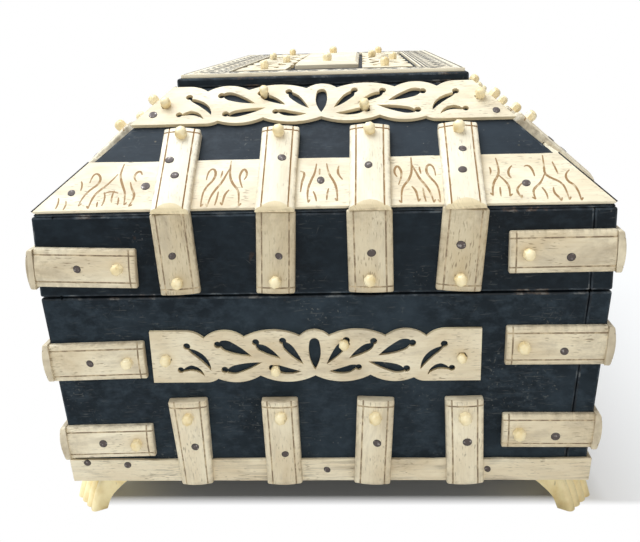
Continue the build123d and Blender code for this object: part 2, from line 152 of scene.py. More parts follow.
class CasketColours(PropertyGroup):
    """Colours of the casket's finishes."""

    # One blue-black paint: darkest on the lid's band as painted shade, lighter on the box as painted light
    # from the floor.
    paint: tint("Paint", "Blue-black paint", (0.0010, 0.0040, 0.0070))
    box_paint_painted_light: tint("Box paint", "Paint of the box, more rubbed than the lid's", (0.0040, 0.0088, 0.0134))
    paint_thin: tint("Thin paint", "Rubbed, greyer paint", (0.0245, 0.0372, 0.049))
    lid_thin_painted_shade: tint("Thin lid paint", "Rubbed paint of the lid's band", (0.0100, 0.0172, 0.0240))
    # Lighter tones of the same blue-black paint for the slopes, as painted light from above.
    roof_painted_light: tint("Roof paint", "Paint of the slopes, dulled by dust", (0.0085, 0.0132, 0.0188))
    roof_thin_painted_light: tint("Thin roof paint", "Rubbed paint of the slopes", (0.0225, 0.031, 0.040))
    worn_wood: tint("Worn wood", "Wood showing at rubbed edges", (0.055, 0.030, 0.016))
    wood: tint("Bare wood", "Unpainted wood inside", (0.20, 0.105, 0.048))
    bone: tint("Bone", "Clean bone", (0.82, 0.73, 0.54))
    # The slope straps are kept close to this white as painted light from above.
    fresh: tint("Fresh bone", "Bone kept white by handling", (0.86, 0.80, 0.645))
    old: tint("Old bone", "Bone browned by age", (0.40, 0.31, 0.17))
    bone_tan: tint("Tanned bone", "Bone yellowed by age", (0.62, 0.50, 0.325))
    stain: tint("Stained bone", "Grey-brown stains in the bone", (0.40, 0.33, 0.235))
    pore: tint("Pores", "Dark pores along the bone", (0.16, 0.105, 0.052))
    streak: tint("Streaks", "Dark streaks in weathered bone", (0.13, 0.105, 0.078))
    sawn: tint("Sawn bone", "Sawn edges and ends of the bone", (0.68, 0.56, 0.345))
    peg: tint("Pegs", "Yellow, polished bone", (0.87, 0.745, 0.475))
    foot: tint("Feet", "Golden, polished bone", (0.95, 0.80, 0.45))
    ink: tint("Brown ink", "Ink in the incised lines", (0.27, 0.203, 0.128))
    vine: tint("Vine ink", "Ink of the engraved vines", (0.29, 0.172, 0.07))
    black_ink: tint("Black ink", "Ink in the engraved top", (0.014, 0.013, 0.013))
    pin: tint("Pins", "Tarnished metal pins", (0.085, 0.066, 0.060))
    brass: tint("Brass", "Aged brass of the hinges", (0.58, 0.40, 0.16))


class CasketStage(PropertyGroup):
    """Camera and light."""

    eye: FloatVectorProperty(
        name="Eye", description="Place of the camera", subtype="TRANSLATION",
        default=(0.37433, 0.01295, 0.15548),
    )
    look: FloatVectorProperty(
        name="Look", description="Direction of view", subtype="DIRECTION",
        default=(-0.96062, -0.05165, -0.27303),
    )
    across: FloatVectorProperty(
        name="Across", description="Right of the view", subtype="DIRECTION",
        default=(-0.04573, 0.99856, -0.028),
    )
    lens: FloatProperty(name="Lens", description="Focal length in mm", default=49.02, min=1)
    key: FloatProperty(name="Key light", description="Power of the key light", default=16.5, unit="POWER")
    bounce: FloatProperty(
        name="Bounce card", description="Power of the front light", default=1.7, unit="POWER"
    )
    fill: FloatProperty(name="Ambient", description="Strength of the surrounding light", default=0.36, min=0)


def sizes():
    """The sizes in use."""
    return bpy.context.scene.casket_sizes


def colours():
    """The colours in use."""
    return bpy.context.scene.casket_colours


def rest():
    """Object mode, nothing selected."""
    if bpy.context.mode != "OBJECT":
        bpy.ops.object.mode_set(mode="OBJECT")
    bpy.ops.object.select_all(action="DESELECT")


def hold(*pieces):
    """Select these pieces alone, the first of them active."""
    rest()
    for piece in pieces:
        piece.select_set(True)
    bpy.context.view_layer.objects.active = pieces[0]


def edit(piece):
    """Take one piece into edit mode."""
    hold(piece)
    bpy.ops.object.mode_set(mode="EDIT")


def pick(piece, kind, test):
    """Select, in edit mode, the corners or edges that pass the test: VERT or EDGE."""
    bpy.context.tool_settings.mesh_select_mode = (kind == "VERT", kind == "EDGE", False)
    bpy.ops.mesh.select_all(action="DESELECT")
    mesh = bmesh.from_edit_mesh(piece.data)
    mesh.normal_update()
    for part in mesh.verts if kind == "VERT" else mesh.edges:
        if test(part):
            part.select_set(True)
    mesh.select_flush_mode()
    bmesh.update_edit_mesh(piece.data)


def cut(place, across, shed=False):
    """Cut the piece in hand along a plane, and shed what lies past it where asked."""
    bpy.ops.mesh.select_all(action="SELECT")
    bpy.ops.mesh.bisect(plane_co=place, plane_no=across, use_fill=shed, clear_outer=shed, threshold=MERGE)


def modify(piece, kind, **settings):
    """Add a modifier and apply it."""
    hold(piece)
    modifier = piece.modifiers.new(kind.title(), kind)
    for key, value in settings.items():
        setattr(modifier, key, value)
    bpy.ops.object.modifier_apply(modifier=modifier.name)


def soften(piece, width):
    """Ease every sharp edge of a piece."""
    modify(
        piece, "BEVEL", width=width, segments=2, limit_method="ANGLE", angle_limit=SHARP,
        use_clamp_overlap=True,
    )


def smooth(piece, work):
    """Shade a piece smooth up to the angle of its kind of work, with the broad faces of sawn work flat."""
    hold(piece)
    bpy.ops.object.shade_smooth_by_angle(angle=math.radians(SMOOTH[work]))
    if work == "sawn":
        modify(piece, "WEIGHTED_NORMAL", keep_sharp=True, weight=100)


def copy_of(piece, name):
    """A loose copy with its own mesh, riding on nothing."""
    twin = piece.copy()
    twin.data = piece.data.copy()
    twin.name = name
    twin.data.name = name
    twin.parent = None
    for key in list(twin.keys()):
        del twin[key]
    bpy.context.scene.collection.objects.link(twin)
    return twin


def solid_copy(node, name):
    """A CAD node's copy: triangles merged, flat faces whole, and nothing inside where mitres meet."""
    piece = copy_of(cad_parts[node], name)
    piece.data.materials.clear()
    hold(piece)
    bpy.ops.mesh.customdata_custom_splitnormals_clear()
    edit(piece)
    bpy.ops.mesh.select_all(action="SELECT")
    bpy.ops.mesh.remove_doubles(threshold=MERGE)
    bpy.ops.mesh.dissolve_limited(angle_limit=FLAT)
    bpy.ops.mesh.select_mode(type="FACE")
    bpy.ops.mesh.select_all(action="DESELECT")
    bpy.ops.mesh.select_interior_faces()
    bpy.ops.mesh.delete(type="FACE")
    rest()
    return piece


def joined(pieces, name):
    """Join like pieces into one, under a name."""
    hold(*pieces)
    bpy.ops.object.join()
    whole = pieces[0]
    whole.name = name
    whole.data.name = name
    return whole


def declare(piece, body, slot, *nodes):
    """Say which body carries a piece and which nodes it stands for, and hide those nodes; the slot is not
    used.
    """
    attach(piece, body)
    if nodes:
        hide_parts(*nodes)


def islands(node):
    """The separate solids of a CAD node, always in one order, each as the places of its corners."""
    mesh = bmesh.new()
    mesh.from_mesh(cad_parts[node].data)
    bmesh.ops.remove_doubles(mesh, verts=mesh.verts, dist=MERGE)
    left = dict.fromkeys(mesh.verts)
    found = []
    while left:
        group = [left.popitem()[0]]
        for vert in group:
            for edge in vert.link_edges:
                other = edge.other_vert(vert)
                if other in left:
                    del left[other]
                    group.append(other)
        found.append([vert.co.copy() for vert in group])
    mesh.free()
    return found


def seat(points, faces):
    """The face that a solid stands on, with the solid's box in that face's frame."""
    for face in faces:
        local = [face.inverted() @ point for point in points]
        low = Vector([min(point[i] for point in local) for i in range(3)])
        high = Vector([max(point[i] for point in local) for i in range(3)])
        if abs(low.z) < SEAT and high.z < PROUDEST:
            return face, low, high
    raise RuntimeError("a solid stands on none of the faces it was tried on")


def seats(node, faces):
    """Every solid of a node, in order along its face."""
    found = [seat(points, faces) for points in islands(node)]
    return sorted(found, key=lambda spot: (faces.index(spot[0]), spot[1].x, spot[1].y))


def strip_box(node, face):
    """Lowest and highest corner of a strip, or of one band of a pair, in its face's frame."""
    return seat(islands(node)[0], [face])[1:]


def map_bone(piece, face, rng, upright=False):
    """Lay the bone's grain along a piece, from a stretch of its own."""
    for other in list(piece.data.uv_layers):
        piece.data.uv_layers.remove(other)
    layer = piece.data.uv_layers.new(name="grain")
    start = Vector((rng.uniform(0, GRAIN_RUN), rng.uniform(0, GRAIN_RUN)))
    back = face.inverted()
    for polygon in piece.data.polygons:
        facing = back.to_3x3() @ polygon.normal
        end_grain = abs(facing.y if upright else facing.x) > END_FACING
        for index in polygon.loop_indices:
            local = back @ piece.data.vertices[piece.data.loops[index].vertex_index].co
            along, across = (local.y, local.x) if upright else (local.x, local.y)
            spot = Vector((across, local.z)) * END_GRAIN if end_grain else Vector((along, across + local.z))
            layer.data[index].uv = start + spot


def age_bone(piece, share):
    """How brown a piece of bone has become, from 0 to 1."""
    ages = piece.data.attributes.new("age", "FLOAT", "POINT")
    for value in ages.data:
        value.value = share


# Hand work on the straps, in the order they stand: how far each leans, in degrees, to the left when positive,
# its width against the sawn blank, how much wider it is at its head, and how far up it was set, in mm.
BASE_HAND = ((1.9, 0.98, 0.09, 0), (0.8, 0.98, 0, 0), (-2.7, 1.0, 0, 0), (1.4, 1.01, 0, 0))
BAND_HAND = ((3.2, 0.97, 0, 0), (-1.8, 0.92, 0, 0), (0, 1.06, 0, 0), (-3.9, 1.06, 0, 0))
SLOPE_HAND = ((-1.4, 0.95, 0, 0), (-0.5, 0.97, 0, 0), (-0.8, 1.03, 0, 0), (0.8, 1.0, 0, 0))
LID_HAND = (
    (-1.3, 0.98, 0, -0.1), (0.3, 1.02, 0, -1.2), (0.2, 1.0, 0, -1.2), (-0.6, 0.99, 0, 0),
    (0.5, 1.01, 0, 0), (-0.4, 0.98, 0, -0.4), (0.6, 1.0, 0, -0.4), (0.3, 0.99, 0, -0.1),
)
UPPER_HAND = (
    (1.2, 0.98, 0, -0.9), (-0.3, 1.0, 0, -0.9), (0.4, 1.0, 0, -0.9), (-0.6, 0.98, 0, -0.2),
    (0.6, 1.0, 0, -0.2), (0.3, 1.02, 0, 0), (-0.5, 1.0, 0, 0), (0.4, 0.98, 0, -0.9),
)
LOWER_HAND = (
    (1.1, 0.9, 0, 0), (-0.2, 0.93, 0, -0.8), (0.3, 0.95, 0, -0.8), (-0.5, 0.96, 0, 0),
    (0.6, 0.95, 0, 0), (-0.3, 0.93, 0, -0.2), (0.4, 0.95, 0, -0.2), (-0.5, 0.92, 0, 0),
)
# How brown the bone of each kind of piece is, by the first word of its name.
# The slope straps are kept near white as painted light from above, and the band straps browned as painted
# shade.
AGES_AND_PAINTED_LIGHT = {
    "base": 0.5, "band": 0.95, "slope": 0.12, "lid": 0.55,
    "box": 0.5, "plinth": 0.5, "engraved": 0.4, "top": 0.3,
}
# Where along its length a strap leans about, from its middle.
FOOT = -0.5
MIDDLE = 0.0
HEAD = 0.5
# The rows of straps: node, body, faces, hand work, and the place that they lean about.
ROWS = [
    ("lid_corner_straps", "lid", list(BAND.values()), LID_HAND, MIDDLE),
    ("box_upper_corner_straps", "box", list(BOX.values()), UPPER_HAND, MIDDLE),
    ("box_lower_corner_straps", "box", list(BOX.values()), LOWER_HAND, MIDDLE),
]
for side in SIDES:
    ROWS.append((f"base_straps_{side}", "box", [BOX[side]], BASE_HAND, MIDDLE))
    ROWS.append((f"band_straps_{side}", "lid", [BAND[side]], BAND_HAND, HEAD))
    ROWS.append((f"slope_straps_{side}", "lid", [SLOPE[side]], SLOPE_HAND, FOOT))


def strap_spots(node, faces, hand, pivot):
    """Every strap of a row: its leaning frame, its middle on the face, its sizes and how it lies."""
    spots = []
    for index, (face, low, high) in enumerate(seats(node, faces)):
        if node.startswith("slope"):
            low.y = -crown / math.cos(pitch)
        middle = (low + high) / 2
        lying = "corner" in node
        size = high - low
        wide, long = sorted((size.x, size.y)) if lying else (size.x, size.y)
        slant, girth, flare, rise = hand[index % len(hand)]
        hinge = Vector((0, pivot * long, 0))
        place = face @ Matrix.Translation(Vector((middle.x, middle.y + rise * MM, 0)) + hinge)
        place = place @ Matrix.Rotation(math.radians(slant), 4, "Z")
        place = place @ Matrix.Translation(-hinge)
        spots.append(
            {
                "face": face, "place": place, "middle": middle, "wide": wide, "long": long, "tall": size.z,
                "girth": girth, "flare": flare, "lying": lying,
            }
        )
    return spots


def under_top(node):
    """How far up its face, and out of it, the strip under a row of straps reaches."""
    if node.startswith("base"):
        return strip_box("plinth_right", BOX["right"])[1]
    return strip_box("engraved_strip_right", SLOPE["right"])[1]


class Finish:
    """A material under construction."""

    def __init__(self, name, rough=0.5):
        self.material = bpy.data.materials.new(name)
        self.material.use_nodes = True
        self.nodes = self.material.node_tree.nodes
        self.links = self.material.node_tree.links
        self.shader = self.nodes["Principled BSDF"]
        self.shader.inputs["Roughness"].default_value = rough

    def put(self, kind, sockets=(), **settings):
        """Add a node, its sockets linked or set, and return it."""
        node = self.nodes.new(kind)
        for key, value in settings.items():
            setattr(node, key, value)
        for key, value in dict(sockets).items():
            self.feed(node.inputs[key], value)
        return node

    def feed(self, socket, value):
        """Link a socket to another node's output, or set its value."""
        if isinstance(value, bpy.types.NodeSocket):
            self.links.new(value, socket)
        else:
            socket.default_value = value

    def place(self, source, scale, turn=None):
        """Coordinates of the piece, turned, then stretched."""
        coordinates = self.put("ShaderNodeTexCoord").outputs[source]
        if turn:
            coordinates = self.put("ShaderNodeMapping", {"Vector": coordinates, "Rotation": turn}).outputs[0]
        return self.put("ShaderNodeMapping", {"Vector": coordinates, "Scale": scale}).outputs[0]

    def noise(self, where, scale=1.0, detail=3.0, rough=0.55, warp=0.0):
        """A cloudy value from 0 to 1."""
        sockets = {"Vector": where, "Scale": scale, "Detail": detail, "Roughness": rough, "Distortion": warp}
        return self.put("ShaderNodeTexNoise", sockets).outputs[0]

    def band(self, value, low, high, to_low=0.0, to_high=1.0):
        """Spread a value from low..high over to_low..to_high, held at both ends."""
        sockets = {"Value": value, "From Min": low, "From Max": high, "To Min": to_low, "To Max": to_high}
        return self.put("ShaderNodeMapRange", sockets).outputs[0]

    def math(self, operation, one, two=0.0):
        return self.put("ShaderNodeMath", {0: one, 1: two}, operation=operation).outputs[0]

    def times(self, one, two):
        return self.math("MULTIPLY", one, two)

    def mix(self, share, one, two):
        """One colour turning into another by a share."""
        sockets = {0: share, 6: self.colour(one), 7: self.colour(two)}
        return self.put("ShaderNodeMix", sockets, data_type="RGBA").outputs[2]

    @staticmethod
    def colour(value):
        return value if isinstance(value, bpy.types.NodeSocket) else (*value, 1.0)

    def bump(self, height, depth, strength=1.0):
        """Raise the surface by a value, as far as depth in metres."""
        sockets = {"Height": height, "Distance": depth, "Strength": strength}
        self.links.new(self.put("ShaderNodeBump", sockets).outputs[0], self.shader.inputs["Normal"])

    def set(self, **values):
        """Set the shader's sockets, named in small letters, and return the material."""
        for key, value in values.items():
            socket = key.replace("_", " ").title().replace("Ior", "IOR")
            self.feed(self.shader.inputs[socket], value)
        return self.material


# Tints of the small marks on the paint. A fleck is the fineness of its pattern, how rare it is, and its tint.
CHIP = (0.12, 0.12, 0.11)
SCRATCH = (0.075, 0.078, 0.076)
DUST = (0.16, 0.16, 0.15)
FLECKS = ((300.0, 0.88, (0.34, 0.29, 0.20)), (560.0, 0.86, (0.22, 0.20, 0.17)))
# Scratches: how the pattern is drawn out along each axis, how it is turned, and how rare they are.
SCRATCHES = (
    ((200, 200, 2400), (0.03, 0.03, 0), 0.66), ((230, 230, 2600), (-0.08, -0.1, 0), 0.68),
    ((200, 200, 2600), (0.8, 0.7, 0), 0.74), ((190, 190, 2600), (-1.1, -1.0, 0), 0.74),
)
# Metal that shows where a pin is rubbed bright, and bone greyed where black ink has worn off.
BRIGHT = (0.30, 0.27, 0.25)
GREYED = (0.12, 0.11, 0.10)


def paint_finish(name, paint, thin, scratches=0.45):
    """Blue-black paint over wood: rubbed thin in places, scratched, flecked and spotted with brown."""
    coat = Finish(name)
    plain = coat.place("Object", (1, 1, 1))
    clouds = coat.noise(plain, 34, 5, 0.62)
    colour = coat.mix(coat.band(clouds, 0.42, 0.70), paint, thin)
    fog = coat.noise(coat.place("Object", (210, 210, 330)), 1, 4, 0.7)
    colour = coat.mix(coat.band(fog, 0.44, 0.74), colour, thin)
    worn = coat.noise(plain, 75, 3, 0.6)
    chips = coat.noise(plain, 1150, 2, 0.5)
    share = coat.times(coat.band(chips, 0.62, 0.70), coat.band(worn, 0.54, 0.66, 0, scratches))
    colour = coat.mix(share, colour, CHIP)
    for stretch, turn, least in SCRATCHES:
        lines = coat.noise(coat.place("Object", stretch, turn), 1, 1, 0.5, 0.3)
        share = coat.band(lines, least, least + 0.07)
        share = coat.times(share, coat.band(worn, 0.42, 0.60, 0, scratches))
        colour = coat.mix(share, colour, SCRATCH)
    for fine, low, mark in FLECKS:
        cells = coat.put("ShaderNodeTexVoronoi", {"Vector": plain, "Scale": fine, "Randomness": 1.0})
        chance = coat.put("ShaderNodeSeparateColor", {0: cells.outputs["Color"]}).outputs[0]
        dot = coat.band(cells.outputs["Distance"], 0.05, 0.15, 1, 0)
        flecks = coat.times(coat.band(chance, low, low + 0.04), dot)
        colour = coat.mix(coat.times(flecks, coat.band(clouds, 0.46, 0.6, 0, 0.5)), colour, mark)
    spots = coat.band(coat.noise(plain, 150, 3, 0.6, 0.5), 0.70, 0.78, 0, 0.4)
    colour = coat.mix(spots, colour, colours().worn_wood)
    grain = coat.noise(coat.place("Object", (60, 60, 420)), 1, 4, 0.6, 0.8)
    coat.bump(grain, 0.00018, 0.5)
    rough = coat.band(clouds, 0.3, 0.75, 0.5, 0.7)
    return coat.set(base_color=colour, roughness=rough, specular_ior_level=0.14)


def edge_finish():
    """Board edges, where the paint has rubbed through to grey and brown."""
    tone = colours()
    edge = Finish("rubbed_board_edge", 0.62)
    plain = edge.place("Object", (1, 1, 1))
    chips = edge.noise(plain, 240, 4, 0.65)
    broad = edge.noise(plain, 55, 3)
    colour = edge.mix(edge.band(chips, 0.42, 0.6), tone.paint, tone.paint_thin)
    bare = edge.times(edge.band(chips, 0.5, 0.58), edge.band(broad, 0.50, 0.64))
    colour = edge.mix(bare, colour, tone.worn_wood)
    dust = edge.times(edge.band(chips, 0.56, 0.64), edge.band(broad, 0.40, 0.52, 0, 0.7))
    colour = edge.mix(dust, colour, DUST)
    edge.bump(chips, 0.0002, 0.6)
    return edge.set(base_color=colour, specular_ior_level=0.3)


def wood_finish(name, along):
    """Bare close-grained wood inside the casket, its grain along an axis."""
    tone = colours()
    wood = Finish(name, 0.66)

    def drawn_out(with_grain, across):
        return wood.place("Object", [with_grain if axis == along else across for axis in range(3)])

    rings = wood.noise(drawn_out(14, 180), 1, 4, 0.6, 1.2)
    fibres = wood.noise(drawn_out(70, 1500), 1, 2)
    dark = tuple(0.45 * value for value in tone.wood)
    colour = wood.mix(wood.band(rings, 0.35, 0.68), tone.wood, dark)
    colour = wood.mix(wood.band(fibres, 0.56, 0.72, 0, 0.5), colour, dark)
    wood.bump(fibres, 0.0001, 0.4)
    return wood.set(base_color=colour, specular_ior_level=0.3)


def bone_finish(name, fresh, light, deep, pores=0.85, rough=0.42, streaks=0.0):
    """Bone with pores drawn out along the grain map, browned by age, darker toward its edges and grimy in
    patches.
    """
    tone = colours()
    bone = Finish(name)
    age = bone.put("ShaderNodeAttribute", attribute_name="age").outputs["Fac"]
    flat = bone.place("UV", (1, 1, 1))
    clouds = bone.noise(bone.place("UV", (40, 95, 1)), 1, 4, 0.6, 0.4)
    clean = bone.mix(bone.band(age, 0.0, 0.45), fresh, light)
    share = bone.times(bone.band(clouds, 0.36, 0.70), bone.band(age, 0.0, 0.6, 0.4, 1.0))
    colour = bone.mix(share, clean, deep)
    fibres = bone.noise(bone.place("UV", (120, 1900, 1)), 1, 3, 0.6)
    share = bone.times(bone.band(fibres, 0.48, 0.78), bone.band(age, 0.0, 0.6, 0.25, 0.55))
    colour = bone.mix(share, colour, deep)
    colour = bone.mix(bone.band(age, 0.45, 1.0, 0, 0.5), colour, tone.old)
    stains = bone.noise(bone.place("UV", (55, 160, 1)), 1, 5, 0.65, 0.6)
    share = bone.times(bone.band(stains, 0.50, 0.74), bone.band(age, 0.1, 0.6, 0.15, 0.75))
    colour = bone.mix(share, colour, tone.stain)
    canals = bone.noise(bone.place("UV", (420, 2300, 1)), 1, 1, 0.5, 0.3)
    patches = bone.noise(flat, 95, 3)
    pits = bone.times(bone.band(canals, 0.60, 0.69), bone.band(patches, 0.42, 0.62, 0, pores))
    pits = bone.times(pits, bone.band(age, 0.0, 0.6, 0.4, 0.8))
    colour = bone.mix(pits, colour, tone.pore)
    if streaks:
        waves = bone.noise(bone.place("UV", (34, 420, 1)), 1, 5, 0.7, 1.6)
        spread = bone.noise(flat, 38, 3, 0.6)
        share = bone.times(bone.band(waves, 0.50, 0.66), bone.band(spread, 0.42, 0.62, 0.15, streaks))
        colour = bone.mix(share, colour, tone.streak)
    grime = bone.noise(flat, 420, 4, 0.7)
    # Darker toward the edges and ends of a strap, by its rim value, and in random patches of grime.
    rim = bone.put("ShaderNodeAttribute", attribute_name="rim").outputs["Fac"]
    edge = bone.times(bone.band(rim, 0.80, 1.0), bone.band(grime, 0.40, 0.62, 0, 0.5))
    grime_and_dark_rim = bone.math("MAXIMUM", edge, bone.band(grime, 0.60, 0.80, 0, 0.3))
    colour = bone.mix(grime_and_dark_rim, colour, tone.pore)
    bone.bump(bone.math("SUBTRACT", fibres, pits), 0.00009, 0.6)
    return bone.set(
        base_color=colour, roughness=bone.band(clouds, 0.3, 0.7, rough, rough + 0.16), specular_ior_level=0.35
    )


def polished_finish(name, pale, browned):
    """Yellow polished bone of the pegs and feet, cloudy and speckled."""
    tone = colours()
    bone = Finish(name, 0.3)
    plain = bone.place("Object", (1, 1, 1))
    clouds = bone.noise(plain, 170, 3, 0.6)
    deep = (pale[0] * 0.80, pale[1] * 0.70, pale[2] * 0.50)
    colour = bone.mix(bone.band(clouds, 0.42, 0.68, 0, browned), pale, deep)
    specks = bone.noise(bone.place("Object", (700, 700, 260)), 1, 2)
    colour = bone.mix(bone.band(specks, 0.70, 0.78, 0, 0.55), colour, tone.pore)
    bone.bump(clouds, 0.0001, 0.4)
    return bone.set(base_color=colour, roughness=bone.band(clouds, 0.3, 0.7, 0.26, 0.42))


def ink_finish(name, colour, bare, kept):
    """Ink rubbed into a cut line, worn off here and there."""
    ink = Finish(name, 0.6)
    worn = ink.noise(ink.place("Object", (1, 1, 1)), 420, 3, 0.6)
    mixed = ink.mix(ink.band(worn, kept, kept + 0.18, 0, 0.85), colour, bare)
    return ink.set(base_color=mixed, specular_ior_level=0.25)


def pin_finish():
    """Tarnished white metal with bright rubbed spots."""
    tone = colours()
    metal = Finish("tarnished_pin")
    spots = metal.noise(metal.place("Object", (1, 1, 1)), 900, 3, 0.6)
    colour = metal.mix(metal.band(spots, 0.55, 0.68), tone.pin, BRIGHT)
    return metal.set(
        base_color=colour, metallic=metal.band(spots, 0.5, 0.66, 0.15, 0.6),
        roughness=metal.band(spots, 0.4, 0.7, 0.6, 0.42), specular_ior_level=0.25,
    )


def brass_finish():
    """Aged brass, browner in its hollows."""
    tone = colours()
    brass = Finish("aged_brass")
    brass.shader.inputs["Metallic"].default_value = 1.0
    stains = brass.noise(brass.place("Object", (1, 1, 1)), 380, 4, 0.62)
    dark = tuple(0.32 * value for value in tone.brass)
    colour = brass.mix(brass.band(stains, 0.42, 0.66), tone.brass, dark)
    brass.bump(stains, 0.00005, 0.4)
    return brass.set(base_color=colour, roughness=brass.band(stains, 0.3, 0.7, 0.3, 0.55))


FINISHES = {}


def finish_of(name):
    """A finish by its name, made the first time it is asked for."""
    if name not in FINISHES:
        tone = colours()
        makers = {
            # The lid's band: the darkest tones of the paint, as painted shade.
            "paint": lambda: paint_finish("blue_black_paint", tone.paint, tone.lid_thin_painted_shade),
            # The box: lighter tones of the paint as painted light from the floor, and more scratches as real
            # wear.
            "box": lambda: paint_finish("rubbed_box_paint_painted_light", tone.box_paint_painted_light, tone.paint_thin, 0.6),
            # The slopes' finish: rubbed and scratched paint in lighter tones, painted light from above.
            "roof_painted_light": lambda: paint_finish("rubbed_roof_paint_painted_light", tone.roof_painted_light, tone.roof_thin_painted_light, 0.5),
            "edge": edge_finish,
            "wood": lambda: wood_finish("bare_wood", 0),
            "end_wood": lambda: wood_finish("bare_end_wood", 1),
            "bone": lambda: bone_finish("bone", tone.fresh, tone.bone, tone.bone_tan),
            "weathered": lambda: bone_finish(
                "weathered_bone", tone.fresh, tone.bone, tone.bone_tan, pores=0.9, rough=0.5, streaks=0.95
            ),
            "cut": lambda: bone_finish("sawn_bone", tone.sawn, tone.bone_tan, tone.peg, 0.4, 0.5),
            "peg": lambda: polished_finish("polished_bone", tone.peg, 1.0),
            "foot": lambda: polished_finish("golden_bone", tone.foot, 0.75),
            "ink": lambda: ink_finish("brown_ink", tone.ink, tone.bone_tan, 0.44),
            "vine": lambda: ink_finish("vine_ink", tone.vine, tone.bone_tan, 0.52),
            "black": lambda: ink_finish("black_ink", tone.black_ink, GREYED, 0.48),
            "pin": pin_finish,
            "brass": brass_finish,
        }
        FINISHES[name] = makers[name]()
    return FINISHES[name]


def cover(piece, *names):
    """Give a piece its finishes, in the order that its faces number them."""
    for name in names:
        piece.data.materials.append(finish_of(name))


class CASKET_OT_boards(Operator):
    """Painted boards of the box and lid, rubbed at their edges and bare inside"""

    bl_idname = "casket.boards"
    bl_label = "Boards"

    # A face that looks this far away from the outside is an inner one.
    INWARD = -0.4
    # How far from the joint line an edge may lie, and how nearly upright it stands.
    NEAR = 0.5 * MM
    UPRIGHT = 0.9

    def execute(self, context):
        for side in SIDES:
            out = BAND[side].to_3x3() @ Vector((0, 0, 1))
            self.dress(f"box_{side}_board", "box", out)
            self.dress(f"lid_{side}_board", "lid", out)
            self.dress(f"lid_{side}_slope", "lid", out)
        self.dress("lid_top_board", "lid", Vector((0, 0, 1)))
        self.dress("box_bottom_board", "box", Vector((0, 0, -1)))
        return {"FINISHED"}

    def dress(self, node, body, out):
        """Ease the edges of a board, which stays painted outside and bare inside."""
        board = solid_copy(node, f"{node}_painted")
        # Slopes, box and lid's band take the one paint in their own tones, lighter or darker as painted light
        # and shade.
        paint = "roof_painted_light" if node.endswith("_slope") else "box" if node.startswith("box") else "paint"
        cover(board, paint, "edge", "end_wood" if abs(out.x) > abs(out.y) else "wood")
        edit(board)
        pick(board, "EDGE", lambda e: e.calc_face_angle(0) > SHARP and not self.closed(e))
        bpy.ops.mesh.bevel(offset=sizes().board_round, segments=2, affect="EDGES", material=1)
        rest()
        for polygon in board.data.polygons:
            if polygon.normal.dot(out) < self.INWARD and polygon.material_index == 0:
                polygon.material_index = 2
        smooth(board, "sawn")
        declare(board, body, "bare_wood" if node == "box_bottom_board" else "painted_wood", node)

    def closed(self, edge):
        """Whether an edge lies along a tight joint, between an end and the front of the casket."""
        spot = (edge.verts[0].co + edge.verts[1].co) / 2
        run = edge.verts[0].co - edge.verts[1].co
        inner = half_width - wall - taper * max(0, z_part - spot.z) / (z_part - z_base)
        upright = abs(run.z) > self.UPRIGHT * run.length and spot.z < z_band
        return upright and abs(spot.y + inner) < self.NEAR and abs(spot.x) > half_length - taper - MM


